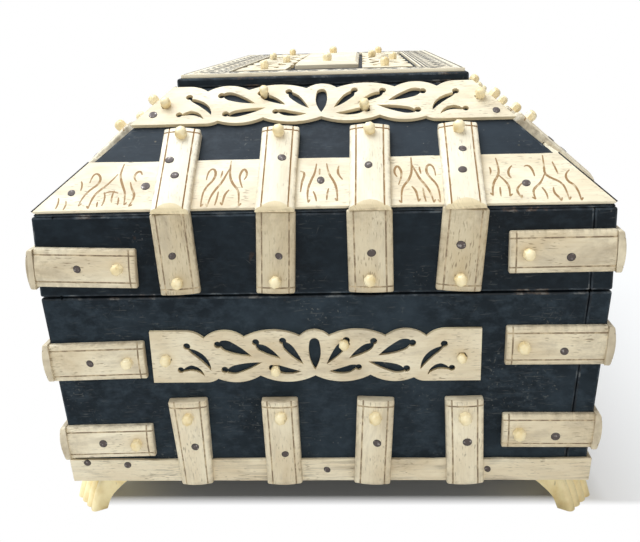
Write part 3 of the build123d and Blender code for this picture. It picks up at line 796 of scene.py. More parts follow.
class CASKET_OT_straps(Operator):
    """Crowned bone straps with incised lines, upright on the faces and round the corners"""

    bl_idname = "casket.straps"
    bl_label = "Straps"

    SEED = 11
    # Lines along a strap that shape its crown, as shares of half its width.
    COLUMNS = (-0.85, -0.6, -0.3, 0.0, 0.3, 0.6, 0.85)
    # Turns of the cuts that pare a foot round, from its plumb end to its face.
    PARES = (0.33, 0.67)
    # Edges past this angle, in radians, are rounded.
    CORNER = 0.7
    # How far up a corner looks to be sunk in a line, and how far up or out a face looks to be inked or sawn.
    SUNK = 0.3
    FACING = 0.2
    # Length over which the back steps up to the strip that it laps.
    STEP = 0.1 * MM
    # Most that the age of a strap strays from that of its kind.
    AGE_STRAY = 0.12

    def execute(self, context):
        self.rng = random.Random(self.SEED)
        for node, body, faces, hand, pivot in ROWS:
            self.row(node, body, strap_spots(node, faces, hand, pivot))
        return {"FINISHED"}

    def row(self, node, body, spots):
        """Carve the straps of one node, each from a blank of its own length."""
        blanks = {}
        pieces = []
        for index, spot in enumerate(spots):
            key = round(spot["long"] / MM, 1)
            if key not in blanks:
                blanks[key] = self.blank(node, spot)
            spin = math.pi if node.startswith("band") else 0
            if spot["lying"]:
                spin = math.copysign(math.pi / 2, spot["middle"].x)
            place = spot["place"] @ Matrix.Rotation(spin, 4, "Z") @ Matrix.Diagonal((spot["girth"], 1, 1, 1))
            strap = self.lay(blanks[key], place, spot["flare"], index)
            # A strap's age also carries painted light on the slopes and painted shade on the band.
            age_bone(strap, AGES_AND_PAINTED_LIGHT[node.split("_")[0]] + self.rng.uniform(-self.AGE_STRAY, self.AGE_STRAY))
            pieces.append(strap)
        row = joined(pieces, f"{node}_carved")
        smooth(row, "strap")
        declare(row, body, "bone", node)
        for blank in blanks.values():
            bpy.data.objects.remove(blank)

    def lay(self, blank, place, flare, index):
        """A copy of a blank, sawn a little out of true, in its place."""
        strap = copy_of(blank, f"strap.{index}")
        shift = Vector((self.rng.uniform(0, GRAIN_RUN), self.rng.uniform(0, GRAIN_RUN)))
        for corner in strap.data.uv_layers["grain"].data:
            corner.uv += shift
        slant = self.rng.uniform(-1, 1) * sizes().strap_wander
        swell = self.rng.uniform(-1, 1) * sizes().strap_wander
        half = max(abs(vert.co.y) for vert in strap.data.vertices)
        for vert in strap.data.vertices:
            way = vert.co.y / half
            vert.co.x += slant * way + math.copysign(swell * way, vert.co.x) + flare * way * vert.co.x
            vert.co.y += way * slant * vert.co.x / half
        strap.data.transform(place)
        return strap

    def blank(self, node, spot):
        """One strap along Y, its incised cross line near its far end."""
        size = sizes()
        long = spot["long"]
        tall = spot["tall"]
        half = spot["wide"] / 2
        rim = tall - crown + size.strap_edge
        rest()
        bpy.ops.mesh.primitive_cube_add(size=1, location=(0, 0, rim / 2))
        strap = bpy.context.object
        strap.scale = (2 * half, long, rim)
        bpy.ops.object.transform_apply(location=True, rotation=True, scale=True)
        edit(strap)
        columns = [share * half for share in self.COLUMNS]
        for x in columns:
            cut((x, 0, 0), (1, 0, 0))
        for x in columns:
            pick(strap, "VERT", lambda v: v.co.z > rim / 2 and abs(v.co.x - x) < MERGE)
            bpy.ops.transform.translate(value=(0, 0, (tall - rim) * (1 - (x / half) ** 2)))
        pick(
            strap, "EDGE",
            lambda e: e.calc_face_angle(0) > self.CORNER and max(v.co.z for v in e.verts) > rim / 2,
        )
        bpy.ops.mesh.bevel(offset=size.strap_round, segments=3, affect="EDGES")
        if node.startswith(("base", "slope")):
            self.notch(strap, under_top(node), spot["middle"].y)
        lines = [half - size.line_inset, size.line_inset - half]
        end = long / 2 - size.line_end
        lip = size.line_width / 2
        for x in lines:
            for place in (x - lip, x, x + lip):
                cut((place, 0, 0), (1, 0, 0))
        for place in (end - lip, end, end + lip):
            cut((0, place, 0), (0, 1, 0))

        def in_line(place, reach):
            return abs(place.y - end) < reach or min(abs(place.x - x) for x in lines) < reach

        pick(strap, "VERT", lambda v: v.normal.z > self.SUNK and v.co.z > rim / 2 and in_line(v.co, MERGE))
        bpy.ops.transform.translate(value=(0, 0, -size.line_depth))
        if node.startswith("slope"):
            self.saw(spot["middle"].y, tall)
        rest()
        cover(strap, "bone", "vine" if node.startswith("slope") else "ink", "cut")
        for polygon in strap.data.polygons:
            on_top = polygon.center.z > rim / 2 and polygon.normal.z > self.FACING
            if on_top and in_line(polygon.center, lip):
                polygon.material_index = 1
            elif polygon.normal.y < -self.FACING and node.startswith("slope"):
                polygon.material_index = 2
        map_bone(strap, Matrix.Identity(4), random.Random(0), upright=True)
        edges = strap.data.attributes.new("rim", "FLOAT", "POINT")
        for vert, value in zip(strap.data.vertices, edges.data):
            value.value = max(abs(vert.co.x) / half, 1 - (long / 2 - abs(vert.co.y)) / half)
        return strap

    def notch(self, strap, under, middle):
        """Relieve the back of a strap over the strip that it laps."""
        step = under.y - middle
        for y in (step, step + self.STEP):
            cut((0, y, 0), (0, 1, 0))
        pick(strap, "VERT", lambda v: v.co.z < MERGE and v.co.y < step + MERGE)
        bpy.ops.transform.translate(value=(0, 0, under.z))

    def saw(self, middle, tall):
        """Cut the foot of a slope strap plumb, and level on the strap below, then pare it round."""
        foot = (0, -crown / math.cos(pitch) - middle, 0)
        plumb = (0, -math.cos(pitch), math.sin(pitch))
        level = (0, -math.sin(pitch), -math.cos(pitch))
        ledge = (0, band_rise / math.sin(pitch) - middle, 0)
        planes = [(foot, plumb), (ledge, level)]
        corner = Vector(foot) + tall * Vector((0, math.tan(pitch), 1))
        for share in self.PARES:
            out = Vector(plumb).lerp((0, 0, 1), share).normalized()
            planes.append((corner - sizes().strap_foot * out, out))
        for place, out in planes:
            cut(place, out, shed=True)


class CASKET_OT_bands(Operator):
    """Pierced, scalloped bone bands with their sawn edges eased"""

    bl_idname = "casket.bands"
    bl_label = "Pierced bands"

    SEED = 5
    # How brown the bands are, by the first word of the name.
    AGED = {"box": 0.6, "slope": 0.42, "top": 0.42}
    # How squarely a face looks out to be the front of a band and not its sawn edge.
    FRONT = 0.5

    def execute(self, context):
        rng = random.Random(self.SEED)
        for side in SIDES:
            self.dress(f"box_fret_{side}", "box", BOX[side], rng)
            self.dress(f"slope_fret_{side}", "lid", SLOPE[side], rng)
        self.dress("top_frets", "lid", TOP, rng)
        return {"FINISHED"}

    def dress(self, node, body, face, rng):
        """Ease and finish the bands of one node."""
        band = solid_copy(node, f"{node}_sawn")
        cover(band, "bone", "cut")
        out = face.to_3x3() @ Vector((0, 0, 1))
        for polygon in band.data.polygons:
            polygon.material_index = 0 if polygon.normal.dot(out) > self.FRONT else 1
        soften(band, sizes().bone_round)
        map_bone(band, face, rng)
        age_bone(band, self.AGED[node.split("_")[0]])
        smooth(band, "sawn")
        declare(band, body, "bone", node)


class CASKET_OT_strips(Operator):
    """Plinth strips, strips for engraving, top border and plaque"""

    bl_idname = "casket.strips"
    bl_label = "Strips"

    SEED = 8
    # How often the long edges are cut to be made uneven.
    STATION = 6.5 * MM

    def execute(self, context):
        rng = random.Random(self.SEED)
        for side in SIDES:
            self.dress(f"plinth_{side}", "box", BOX[side], rng, sizes().ragged)
            self.dress(f"engraved_strip_{side}", "lid", SLOPE[side], rng, sizes().ragged)
        self.dress("top_border", "lid", TOP, rng)
        self.dress("top_plaque", "lid", TOP, rng)
        return {"FINISHED"}

    def dress(self, node, body, face, rng, ragged=0.0):
        """Ease and finish one strip, its long edges ragged where asked."""
        strip = solid_copy(node, f"{node}_planed")
        if ragged:
            self.fray(strip, face, rng, ragged)
        soften(strip, sizes().bone_round)
        map_bone(strip, face, rng)
        age_bone(strip, AGES_AND_PAINTED_LIGHT[node.split("_")[0]])
        smooth(strip, "sawn")
        cover(strip, "weathered" if node.startswith("plinth") else "bone")
        declare(strip, body, "bone", node)

    def fray(self, strip, face, rng, ragged):
        """Make a strip's long edges uneven, the lower half as much, and leave its mitred ends alone."""
        back = face.inverted()
        local = [back @ vert.co for vert in strip.data.vertices]
        low = min(place.y for place in local)
        high = max(place.y for place in local)
        reach = min(abs(place.x) for place in local)
        count = int(2 * reach / self.STATION)
        stations = [(i / count - 0.5) * 2 * reach for i in range(1, count)]
        along = face.to_3x3() @ Vector((1, 0, 0))
        edit(strip)
        for x in stations:
            cut(face @ Vector((x, 0, 0)), along)
        rest()
        dips = [(rng.uniform(0, ragged), rng.uniform(0, 0.5 * ragged)) for x in stations]
        for vert in strip.data.vertices:
            place = back @ vert.co
            for x, (top, foot) in zip(stations, dips):
                if abs(place.x - x) < SEAT:
                    place.y += foot if place.y < (low + high) / 2 else -top
            vert.co = face @ place


class CASKET_OT_pegs(Operator):
    """Whittled bone pegs, one in every peg hole"""

    bl_idname = "casket.pegs"
    bl_label = "Pegs"

    SEED = 21
    # Girth against the set radius, the share of it on a short peg, and the most that one rises past a crown.
    GIRTH = (0.95, 1.14)
    SLIGHT = 0.86
    SHORT = 2 * MM
    # Most that a peg leans either way, in radians.
    LEAN = 0.07
    # Shares of the radius: depth of the head, width at the foot and at the tip, and rounding of the tip.
    HEAD_DEPTH = 0.9
    FOOT_WIDTH = 0.72
    TIP_WIDTH = 0.92
    TIP_ROUND = 0.66
    # Cuts of the knife round a peg, and the least of the radius that one leaves.
    CUTS = 5
    LEAST = 0.92

    def execute(self, context):
        self.rng = random.Random(self.SEED)
        self.row("box_pegs", "box", list(BOX.values()))
        self.row("lid_pegs", "lid", [*BAND.values(), *SLOPE.values(), TOP])
        return {"FINISHED"}

    def row(self, node, body, faces):
        """Whittle the pegs of one body, each leaning a little its own way."""
        pieces = []
        straps = []
        for strap_node, strap_body, strap_faces, hand, pivot in ROWS:
            if strap_body == body:
                straps += strap_spots(strap_node, strap_faces, hand, pivot)
        for face, low, high in seats(node, faces):
            girth = sizes().peg_radius * self.rng.uniform(*self.GIRTH)
            peg = self.whittle(high.z, self.SLIGHT * girth if high.z < crown + self.SHORT else girth)
            middle = (low + high) / 2
            lean_x = Matrix.Rotation(self.rng.uniform(-self.LEAN, self.LEAN), 4, "X")
            lean_y = Matrix.Rotation(self.rng.uniform(-self.LEAN, self.LEAN), 4, "Y")
            turn = Matrix.Rotation(self.rng.uniform(0, math.tau), 4, "Z")
            peg.data.transform(self.home(face, middle, straps) @ lean_x @ lean_y @ turn)
            pieces.append(peg)
        row = joined(pieces, f"{node}_whittled")
        smooth(row, "peg")
        cover(row, "peg")
        declare(row, body, "pegs", node)

    def home(self, face, middle, straps):
        """Where a peg stands: on its own strap as that leans, or straight on the face."""
        for strap in straps:
            off = middle - strap["middle"]
            across, along = (off.y, off.x) if strap["lying"] else (off.x, off.y)
            if strap["face"] is face and abs(across) < strap["wide"] / 2 and abs(along) < strap["long"] / 2:
                return strap["place"] @ Matrix.Translation((off.x, off.y, 0))
        return face @ Matrix.Translation((middle.x, middle.y, 0))

    def whittle(self, tall, radius):
        """One peg on the origin: facets pared round a shaft, its head swelling and rounded over."""
        rest()
        bpy.ops.mesh.primitive_cylinder_add(
            vertices=sizes().peg_sides, radius=radius, depth=tall, location=(0, 0, tall / 2)
        )
        peg = bpy.context.object
        bpy.ops.object.transform_apply(location=True, rotation=True, scale=True)
        edit(peg)
        cut((0, 0, tall - self.HEAD_DEPTH * radius), (0, 0, 1))
        pick(peg, "VERT", lambda v: v.co.z < MERGE)
        bpy.ops.transform.resize(value=(self.FOOT_WIDTH, self.FOOT_WIDTH, 1), center_override=(0, 0, 0))
        pick(peg, "VERT", lambda v: v.co.z > tall - MERGE)
        bpy.ops.transform.resize(value=(self.TIP_WIDTH, self.TIP_WIDTH, 1), center_override=(0, 0, 0))
        pick(peg, "EDGE", lambda e: min(v.co.z for v in e.verts) > tall - MERGE)
        bpy.ops.mesh.bevel(offset=self.TIP_ROUND * radius, segments=3, affect="EDGES")
        rest()
        pares = [self.rng.uniform(self.LEAST, 1.0) for _ in range(self.CUTS)]
        for vert in peg.data.vertices:
            share = (math.atan2(vert.co.y, vert.co.x) / math.tau) % 1 * len(pares)
            one = pares[int(share) % len(pares)]
            two = pares[(int(share) + 1) % len(pares)]
            pare = one + (two - one) * (share % 1)
            vert.co.x *= pare
            vert.co.y *= pare
        return peg


class CASKET_OT_pins(Operator):
    """Flush metal pins in the straps, strips and bands"""

    bl_idname = "casket.pins"
    bl_label = "Pins"

    SEED = 3
    # Pins of the straps on the near end, from its left, in mm across and up from the middle of the strap.
    ON_BASE = (((0.95, -0.7),), ((0.85, -3.4),), ((0.95, 0.4),), ((0.65, 0.6),))
    ON_BAND = (((-0.65, -0.2),), ((1.05, -0.7),), ((0.35, -0.2),), ((-0.65, 1.7),))
    ON_SLOPE = (((-2.2, 4.1), (0.2, -1.9)), ((1.2, 4.1),), ((-0.4, 0.6),), ((0.6, 6.1), (-0.1, -1.9)))
    ON_CORNER = (((-2.2, 0.0),), ((2.2, -1.4),))
    # Pins of the strips and bands: mm along the face, and up from the foot of the strip or band.
    ON_PLINTH = {
        "end": ((-77, 6.9), (-64, 6.1), (0, 4.2), (50.5, 4.3)),
        "side": ((-118, 6.2), (-43, 4.2), (14.4, 4.5), (72, 4.1)),
    }
    ON_STRIP = {
        "end": ((-73.8, 6.8), (-51.8, 8.8), (0.3, 9.8), (59.9, 7.3)),
        "side": ((-114, 7), (-43, 9), (14.2, 9.8), (103, 7.2)),
    }
    ON_FRET = {"end": ((-53, 4.2), (54, 2.8)), "side": ((-96, 4.2), (96, 3))}

    # One pin: its sides, depth, rounding of the rim, girth against the set radius, and how oval it is.
    PIN_SIDES = 14
    DEPTH = 0.5 * MM
    RING = 0.16 * MM
    GIRTH = (0.86, 1.1)
    OVAL = (0.82, 1.0)
    # A face that looks out this nearly square is the filed top; the rest is the dark rim.
    FILED = 0.98

    def execute(self, context):
        self.rng = random.Random(self.SEED)
        self.pieces = {"box": [], "lid": []}
        tables = {"base": self.ON_BASE, "band": self.ON_BAND, "slope": self.ON_SLOPE}
        for node, body, faces, hand, pivot in ROWS:
            table = tables.get(node.split("_")[0], self.ON_CORNER)
            for index, spot in enumerate(strap_spots(node, faces, hand, pivot)):
                for x, y in table[index % len(table)]:
                    self.on_strap(body, spot, x * MM, y * MM)
        for side in SIDES:
            kind = "end" if side in ENDS else "side"
            self.on_strip("box", BOX[side], f"plinth_{side}", self.ON_PLINTH[kind])
            self.on_strip("lid", SLOPE[side], f"engraved_strip_{side}", self.ON_STRIP[kind])
            self.on_strip("lid", SLOPE[side], f"slope_fret_{side}", self.ON_FRET[kind])
        for body, pieces in self.pieces.items():
            pins = joined(pieces, f"{body}_pins")
            smooth(pins, "pin")
            declare(pins, body, "screws")
        return {"FINISHED"}

    def on_strap(self, body, spot, x, y):
        """A pin square to the crowned face of a strap."""
        half = spot["wide"] / 2
        rise = crown - sizes().strap_edge
        off = y if spot["lying"] else x
        height = spot["tall"] - rise * (off / half) ** 2
        tilt = math.atan(2 * rise * off / half**2)
        tip = Matrix.Rotation(-tilt, 4, "X") if spot["lying"] else Matrix.Rotation(tilt, 4, "Y")
        self.drive(body, spot["place"] @ Matrix.Translation((x, y, height)) @ tip)

    def on_strip(self, body, face, node, table):
        """Pins along a strip or band."""
        low, high = strip_box(node, face)
        for x, y in table:
            self.drive(body, face @ Matrix.Translation((x * MM, low.y + y * MM, high.z)))

    def drive(self, body, place):
        """One pin: a filed stub, its rim eased."""
        size = sizes()
        radius = size.pin_radius * self.rng.uniform(*self.GIRTH)
        middle = size.pin_proud - self.DEPTH / 2
        rest()
        bpy.ops.mesh.primitive_cylinder_add(
            vertices=self.PIN_SIDES, radius=radius, depth=self.DEPTH, location=(0, 0, middle)
        )
        pin = bpy.context.object
        bpy.ops.object.transform_apply(location=True, rotation=True, scale=True)
        edit(pin)
        pick(pin, "EDGE", lambda e: min(v.co.z for v in e.verts) > 0)
        bpy.ops.mesh.bevel(offset=self.RING, segments=2, affect="EDGES")
        rest()
        cover(pin, "pin", "black")
        for polygon in pin.data.polygons:
            polygon.material_index = 0 if polygon.normal.z > self.FILED else 1
        oval = Matrix.Diagonal((1, self.rng.uniform(*self.OVAL), 1, 1))
        pin.data.transform(place @ Matrix.Rotation(self.rng.uniform(0, math.tau), 4, "Z") @ oval)
        self.pieces[body].append(pin)


# A pen stroke, as shares of its width: its ends, what it gains toward its middle, and its thickness.
STROKE_FINE = 0.45
STROKE_SWELL = 0.55
STROKE_FLAT = 0.12


def stroke_set(name, strokes, width):
    """Pen strokes in mm, each swelling from fine ends, as one thin mesh lying on z = 0."""
    line = bpy.data.curves.new(name, "CURVE")
    line.dimensions = "3D"
    line.bevel_depth = width / 2
    line.bevel_resolution = 0
    line.resolution_u = 3
    line.use_fill_caps = True
    for points in strokes:
        spline = line.splines.new("NURBS")
        spline.points.add(len(points) - 1)
        spline.order_u = 3
        spline.use_endpoint_u = True
        for index, (x, y) in enumerate(points):
            swell = math.sin(math.pi * index / (len(points) - 1))
            spline.points[index].co = (x * MM, y * MM, 0, 1)
            spline.points[index].radius = STROKE_FINE + STROKE_SWELL * swell if len(points) > 2 else 1
    drawn = bpy.data.objects.new(name, line)
    bpy.context.scene.collection.objects.link(drawn)
    hold(drawn)
    bpy.ops.object.convert(target="MESH")
    drawn = bpy.context.object
    edit(drawn)
    bpy.ops.mesh.select_all(action="SELECT")
    bpy.ops.mesh.remove_doubles(threshold=MERGE)
    rest()
    drawn.data.transform(Matrix.Diagonal((1, 1, STROKE_FLAT, 1)))
    return drawn


def mirror_of(piece, name):
    """The same strokes turned over from left to right."""
    twin = copy_of(piece, name)
    twin.data.transform(Matrix.Diagonal((-1, 1, 1, 1)))
    edit(twin)
    bpy.ops.mesh.select_all(action="SELECT")
    bpy.ops.mesh.flip_normals()
    rest()
    return twin


class CASKET_OT_vines(Operator):
    """Swan-necked vines drawn in brown ink on the strips round the lid"""

    bl_idname = "casket.vines"
    bl_label = "Vines"

    # Strokes of the two vines, in mm from the middle and the foot of a panel.
    SWAN = (
        (
            (-6.6, 0.8), (-6.6, 4.7), (-5.75, 7.9), (-3.8, 10.3), (-3.0, 12.6), (-3.4, 14.6), (-4.5, 15.0),
            (-5.6, 13.4), (-5.75, 10.7),
        ),
        ((-4.7, 0.8), (-4.2, 4.0), (-2.7, 7.1), (-1.1, 9.5), (0.1, 12.6), (1.0, 15.0)),
        ((1.2, 18.0), (1.1, 15.0), (1.2, 11.9), (2.2, 9.1), (3.8, 7.1), (4.5, 4.7), (4.5, 0.8)),
        ((5.2, 7.5), (4.25, 10.3), (4.1, 12.6), (5.3, 15.0), (6.3, 13.4), (6.2, 11.5), (5.5, 10.5)),
        ((-2.5, 1.2), (-1.9, 4.0), (-1.8, 6.3)),
        ((-0.3, 1.2), (-0.1, 4.0), (0.55, 5.9), (1.4, 6.9)),
        ((-1.5, 11.5), (-1.2, 12.9), (-1.1, 14.2)),
    )
    FORK = (
        ((-4.2, 1.6), (-4.7, 5.1), (-3.7, 9.5), (-2.3, 12.6), (-2.0, 16.2)),
        ((4.3, 2.0), (4.3, 5.9), (3.2, 9.5), (1.5, 12.3), (1.0, 16.2)),
        ((-6.5, 5.5), (-6.3, 9.1), (-5.5, 11.5), (-5.7, 13.2), (-6.8, 13.4)),
        ((5.8, 9.9), (4.5, 11.5), (4.3, 13.8), (4.7, 15.2)),
        ((-1.8, 2.0), (-2.0, 4.0), (-2.8, 5.7)),
        ((1.2, 2.4), (1.2, 4.7), (1.7, 6.7)),
        ((-1.0, 14.2), (-1.1, 13.0), (-1.0, 11.9)),
    )
    # Strokes under the left and right hip, in mm from a place beside the last strap.
    LEFT = (
        ((0.0, 17.6), (-0.7, 14.3), (-0.4, 12.0), (0.8, 8.7), (2.0, 6.0), (2.0, 1.9)),
        ((-1.4, 13.6), (-3.8, 9.7), (-6.7, 7.0), (-8.1, 3.9), (-8.5, 0.8)),
        (
            (-9.5, 10.5), (-9.2, 13.2), (-7.8, 14.3), (-6.3, 12.4), (-6.7, 9.9), (-8.9, 8.0), (-10.9, 5.0),
            (-11.6, 1.9),
        ),
        ((-12.2, 11.2), (-11.4, 9.7), (-11.8, 7.6)),
        ((-18.0, 5.0), (-17.5, 3.1), (-18.2, 0.9)),
        ((-15.6, 3.9), (-15.1, 2.2), (-15.9, 0.5)),
        ((-4.6, 6.8), (-3.6, 4.7), (-4.6, 1.7)),
        ((-1.6, 7.4), (-2.3, 4.7), (-1.8, 2.9)),
        ((-4.4, 6.4), (-2.5, 7.6), (-0.3, 6.4)),
        ((0.0, 4.8), (0.2, 3.3), (0.1, 1.9)),
        ((-6.0, 3.3), (-6.1, 2.3), (-6.0, 1.4)),
        ((6.0, 13.2), (5.6, 14.7), (4.2, 14.3), (3.5, 12.0), (4.6, 10.7)),
        ((2.8, 10.5), (3.4, 8.1), (4.6, 6.2), (4.6, 3.9), (3.4, 1.4)),
    )
    RIGHT = (
        ((-8.1, 13.5), (-7.6, 12.3), (-8.1, 10.7)),
        ((-6.0, 17.0), (-5.4, 13.5), (-5.7, 10.4), (-7.3, 8.0), (-8.0, 4.9), (-7.9, 2.9)),
        ((-5.7, 10.4), (-3.7, 8.0), (-2.9, 5.3), (-3.2, 2.5)),
        ((-5.7, 6.0), (-5.8, 4.2), (-5.7, 2.5)),
        ((-1.5, 13.9), (-2.7, 12.7), (-2.9, 10.0), (-2.1, 9.3)),
        ((2.0, 13.5), (3.1, 14.3), (4.5, 11.9), (4.6, 9.7)),
        ((7.8, 17.6), (7.8, 13.5), (7.5, 10.4), (9.5, 8.8), (11.6, 7.6), (13.0, 5.3), (13.4, 0.9)),
        ((7.5, 10.4), (6.2, 7.2), (4.2, 5.6), (3.4, 3.7), (4.0, 1.3)),
        ((0.7, 7.2), (-0.9, 5.6), (-0.9, 3.7), (0.1, 1.7)),
        ((6.2, 5.6), (7.5, 3.7), (7.4, 1.3)),
        ((9.5, 5.6), (9.2, 3.7), (10.8, 1.7), (11.1, 0.6)),
        ((10.3, 15.1), (11.1, 12.3), (11.4, 10.4)),
        ((14.9, 11.9), (13.3, 10.4), (13.8, 7.6), (15.5, 6.4), (16.6, 3.3), (16.7, 0.6)),
    )
    # How far from the last strap that place is.
    BESIDE = 16 * MM
    # Width of the dark line at a mitre.
    MITRE = 0.5 * MM
    # Length in mm and turn of the thorns at the feet of the longer strokes, the height that such a foot ends
    # below, and the points that a longer stroke has at least.
    THORN = 1.25
    THORN_TURN = 0.6
    LOW = 3.0
    LONGER = 4

    def execute(self, context):
        width = sizes().vine_width
        swan = stroke_set("swan", self.thorned(self.SWAN), width)
        fork = stroke_set("fork", self.thorned(self.FORK), width)
        vines = [swan, fork, mirror_of(swan, "swan_back"), mirror_of(fork, "fork_back")]
        hips = [stroke_set("left_hip", self.thorned(self.LEFT), width)]
        hips.append(stroke_set("right_hip", self.thorned(self.RIGHT), width))
        for side in SIDES:
            self.draw_side(side, vines, hips)
        for side in ENDS:
            self.draw_mitres(side)
        for vine in (*vines, *hips):
            bpy.data.objects.remove(vine)
        return {"FINISHED"}

    def thorned(self, strokes):
        """The strokes, with a thorn running back from the foot of each that is long enough."""
        thorns = []
        for index, points in enumerate(strokes):
            foot, inner = min((points[0], points[1]), (points[-1], points[-2]), key=lambda end: end[0][1])
            if len(points) >= self.LONGER and foot[1] < self.LOW:
                back = Vector(inner) - Vector(foot)
                back.rotate(Matrix.Rotation(self.THORN_TURN if index % 2 else -self.THORN_TURN, 2))
                tip = Vector(foot) + self.THORN * back.normalized()
                thorns.append((foot, Vector(foot).lerp(tip, 0.5), tip))
        return (*strokes, *thorns)

    def draw_mitres(self, side):
        """Dark lines at the two mitres where an end strip meets its neighbours."""
        face = SLOPE[side]
        node = f"engraved_strip_{side}"
        low, high = strip_box(node, face)
        local = [face.inverted() @ point for point in islands(node)[0]]
        reach = max(point.x for point in local if point.y > high.y - SEAT)
        run = [((high.x - self.MITRE / 2) / MM, low.y / MM), ((reach - self.MITRE / 2) / MM, high.y / MM)]
        lines = stroke_set(f"mitres_{side}", [run, [(-x, y) for x, y in run]], self.MITRE)
        lines.data.transform(face @ Matrix.Translation((0, 0, high.z)))
        cover(lines, "black")
        declare(lines, "lid", "bone")

    def draw_side(self, side, vines, hips):
        """A vine in every panel between straps, and a spray under each hip."""
        face = SLOPE[side]
        low, high = strip_box(f"engraved_strip_{side}", face)
        straps = [spot["middle"].x for spot in strap_spots(f"slope_straps_{side}", [face], SLOPE_HAND, FOOT)]
        panels = [(one + two) / 2 for one, two in zip(straps, straps[1:])]
        spots = [(x, vines[index % len(vines)]) for index, x in enumerate(panels)]
        spots += [(straps[0] - self.BESIDE, hips[0]), (straps[-1] + self.BESIDE, hips[1])]
        pieces = []
        for index, (x, drawn) in enumerate(spots):
            vine = copy_of(drawn, f"vine.{index}")
            vine.data.transform(face @ Matrix.Translation((x, low.y, high.z)))
            pieces.append(vine)
        row = joined(pieces, f"vines_{side}")
        smooth(row, "stroke")
        cover(row, "vine")
        declare(row, "lid", "bone")


class CASKET_OT_scrolls(Operator):
    """Running scrolls and fine lines in black ink round the top border"""

    bl_idname = "casket.scrolls"
    bl_label = "Scrolls"

    # Strokes of one scroll, in mm about the middle of the border.
    SCROLL = (
        ((-6.2, -2.4), (-4.2, -3.9), (-1.9, -2.6), (0.0, 0.0), (1.9, 2.6), (4.2, 3.9), (6.2, 2.4)),
        ((-1.9, -2.0), (-1.6, 0.6), (-3.2, 2.0), (-4.7, 1.0), (-4.3, -0.6), (-3.1, -0.3)),
        ((1.9, 2.0), (1.6, -0.6), (3.2, -2.0), (4.7, -1.0), (4.3, 0.6), (3.1, 0.3)),
        ((-5.9, 3.9), (-4.8, 3.0), (-3.3, 3.3), (-2.2, 4.2)),
        ((5.9, -3.9), (4.8, -3.0), (3.3, -3.3), (2.2, -4.2)),
        ((-0.6, 2.2), (0.1, 3.4), (1.5, 4.2)),
        ((0.6, -2.2), (-0.1, -3.4), (-1.5, -4.2)),
    )
    # Room that a scroll takes along the border.
    LENGTH = 12.4 * MM
    # Fine lines: 1 from the inner edge of the border, -1 from its outer edge, and how far from it.
    LINES = ((1, 0.9 * MM), (1, 2.1 * MM), (-1, 0.8 * MM))
    # Width of a fine line against a stroke of a scroll.
    LINE_SHARE = 0.55

    def execute(self, context):
        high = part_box("top_border")[1]
        wide = self.border_width()
        scroll = stroke_set("scroll", self.SCROLL, sizes().scroll_width)
        pieces = []
        for side in SIDES:
            reach, half = (high.x, high.y) if side in ENDS else (high.y, high.x)
            turn = Matrix.Rotation(math.pi / 2 * SIDES.index(side), 4, "Z")
            middle = Matrix.Translation((reach - wide / 2, 0, high.z))
            face = turn @ middle @ Matrix.Rotation(math.pi / 2, 4, "Z")
            count = int(2 * (half - wide / 2) / self.LENGTH)
            for index in range(count):
                x = (index - (count - 1) / 2) * 2 * (half - wide / 2) / count
                twin = copy_of(scroll, "scroll_copy")
                twin.data.transform(face @ Matrix.Translation((x, 0, 0)))
                pieces.append(twin)
            for hand, inset in self.LINES:
                y = hand * (wide / 2 - inset) / MM
                run = (half - wide + inset if hand > 0 else half - inset) / MM
                line = stroke_set("line", [((-run, y), (run, y))], self.LINE_SHARE * sizes().scroll_width)
                line.data.transform(face)
                pieces.append(line)
        bpy.data.objects.remove(scroll)
        row = joined(pieces, "top_scrolls")
        smooth(row, "stroke")
        cover(row, "black")
        declare(row, "lid", "bone")
        return {"FINISHED"}

    def border_width(self):
        """Width of the border: how far in from the outer edge the innermost corner of a strip lies."""
        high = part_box("top_border")[1]
        return max(round(min(high.x - abs(p.x), high.y - abs(p.y)), 6) for p in islands("top_border")[0])


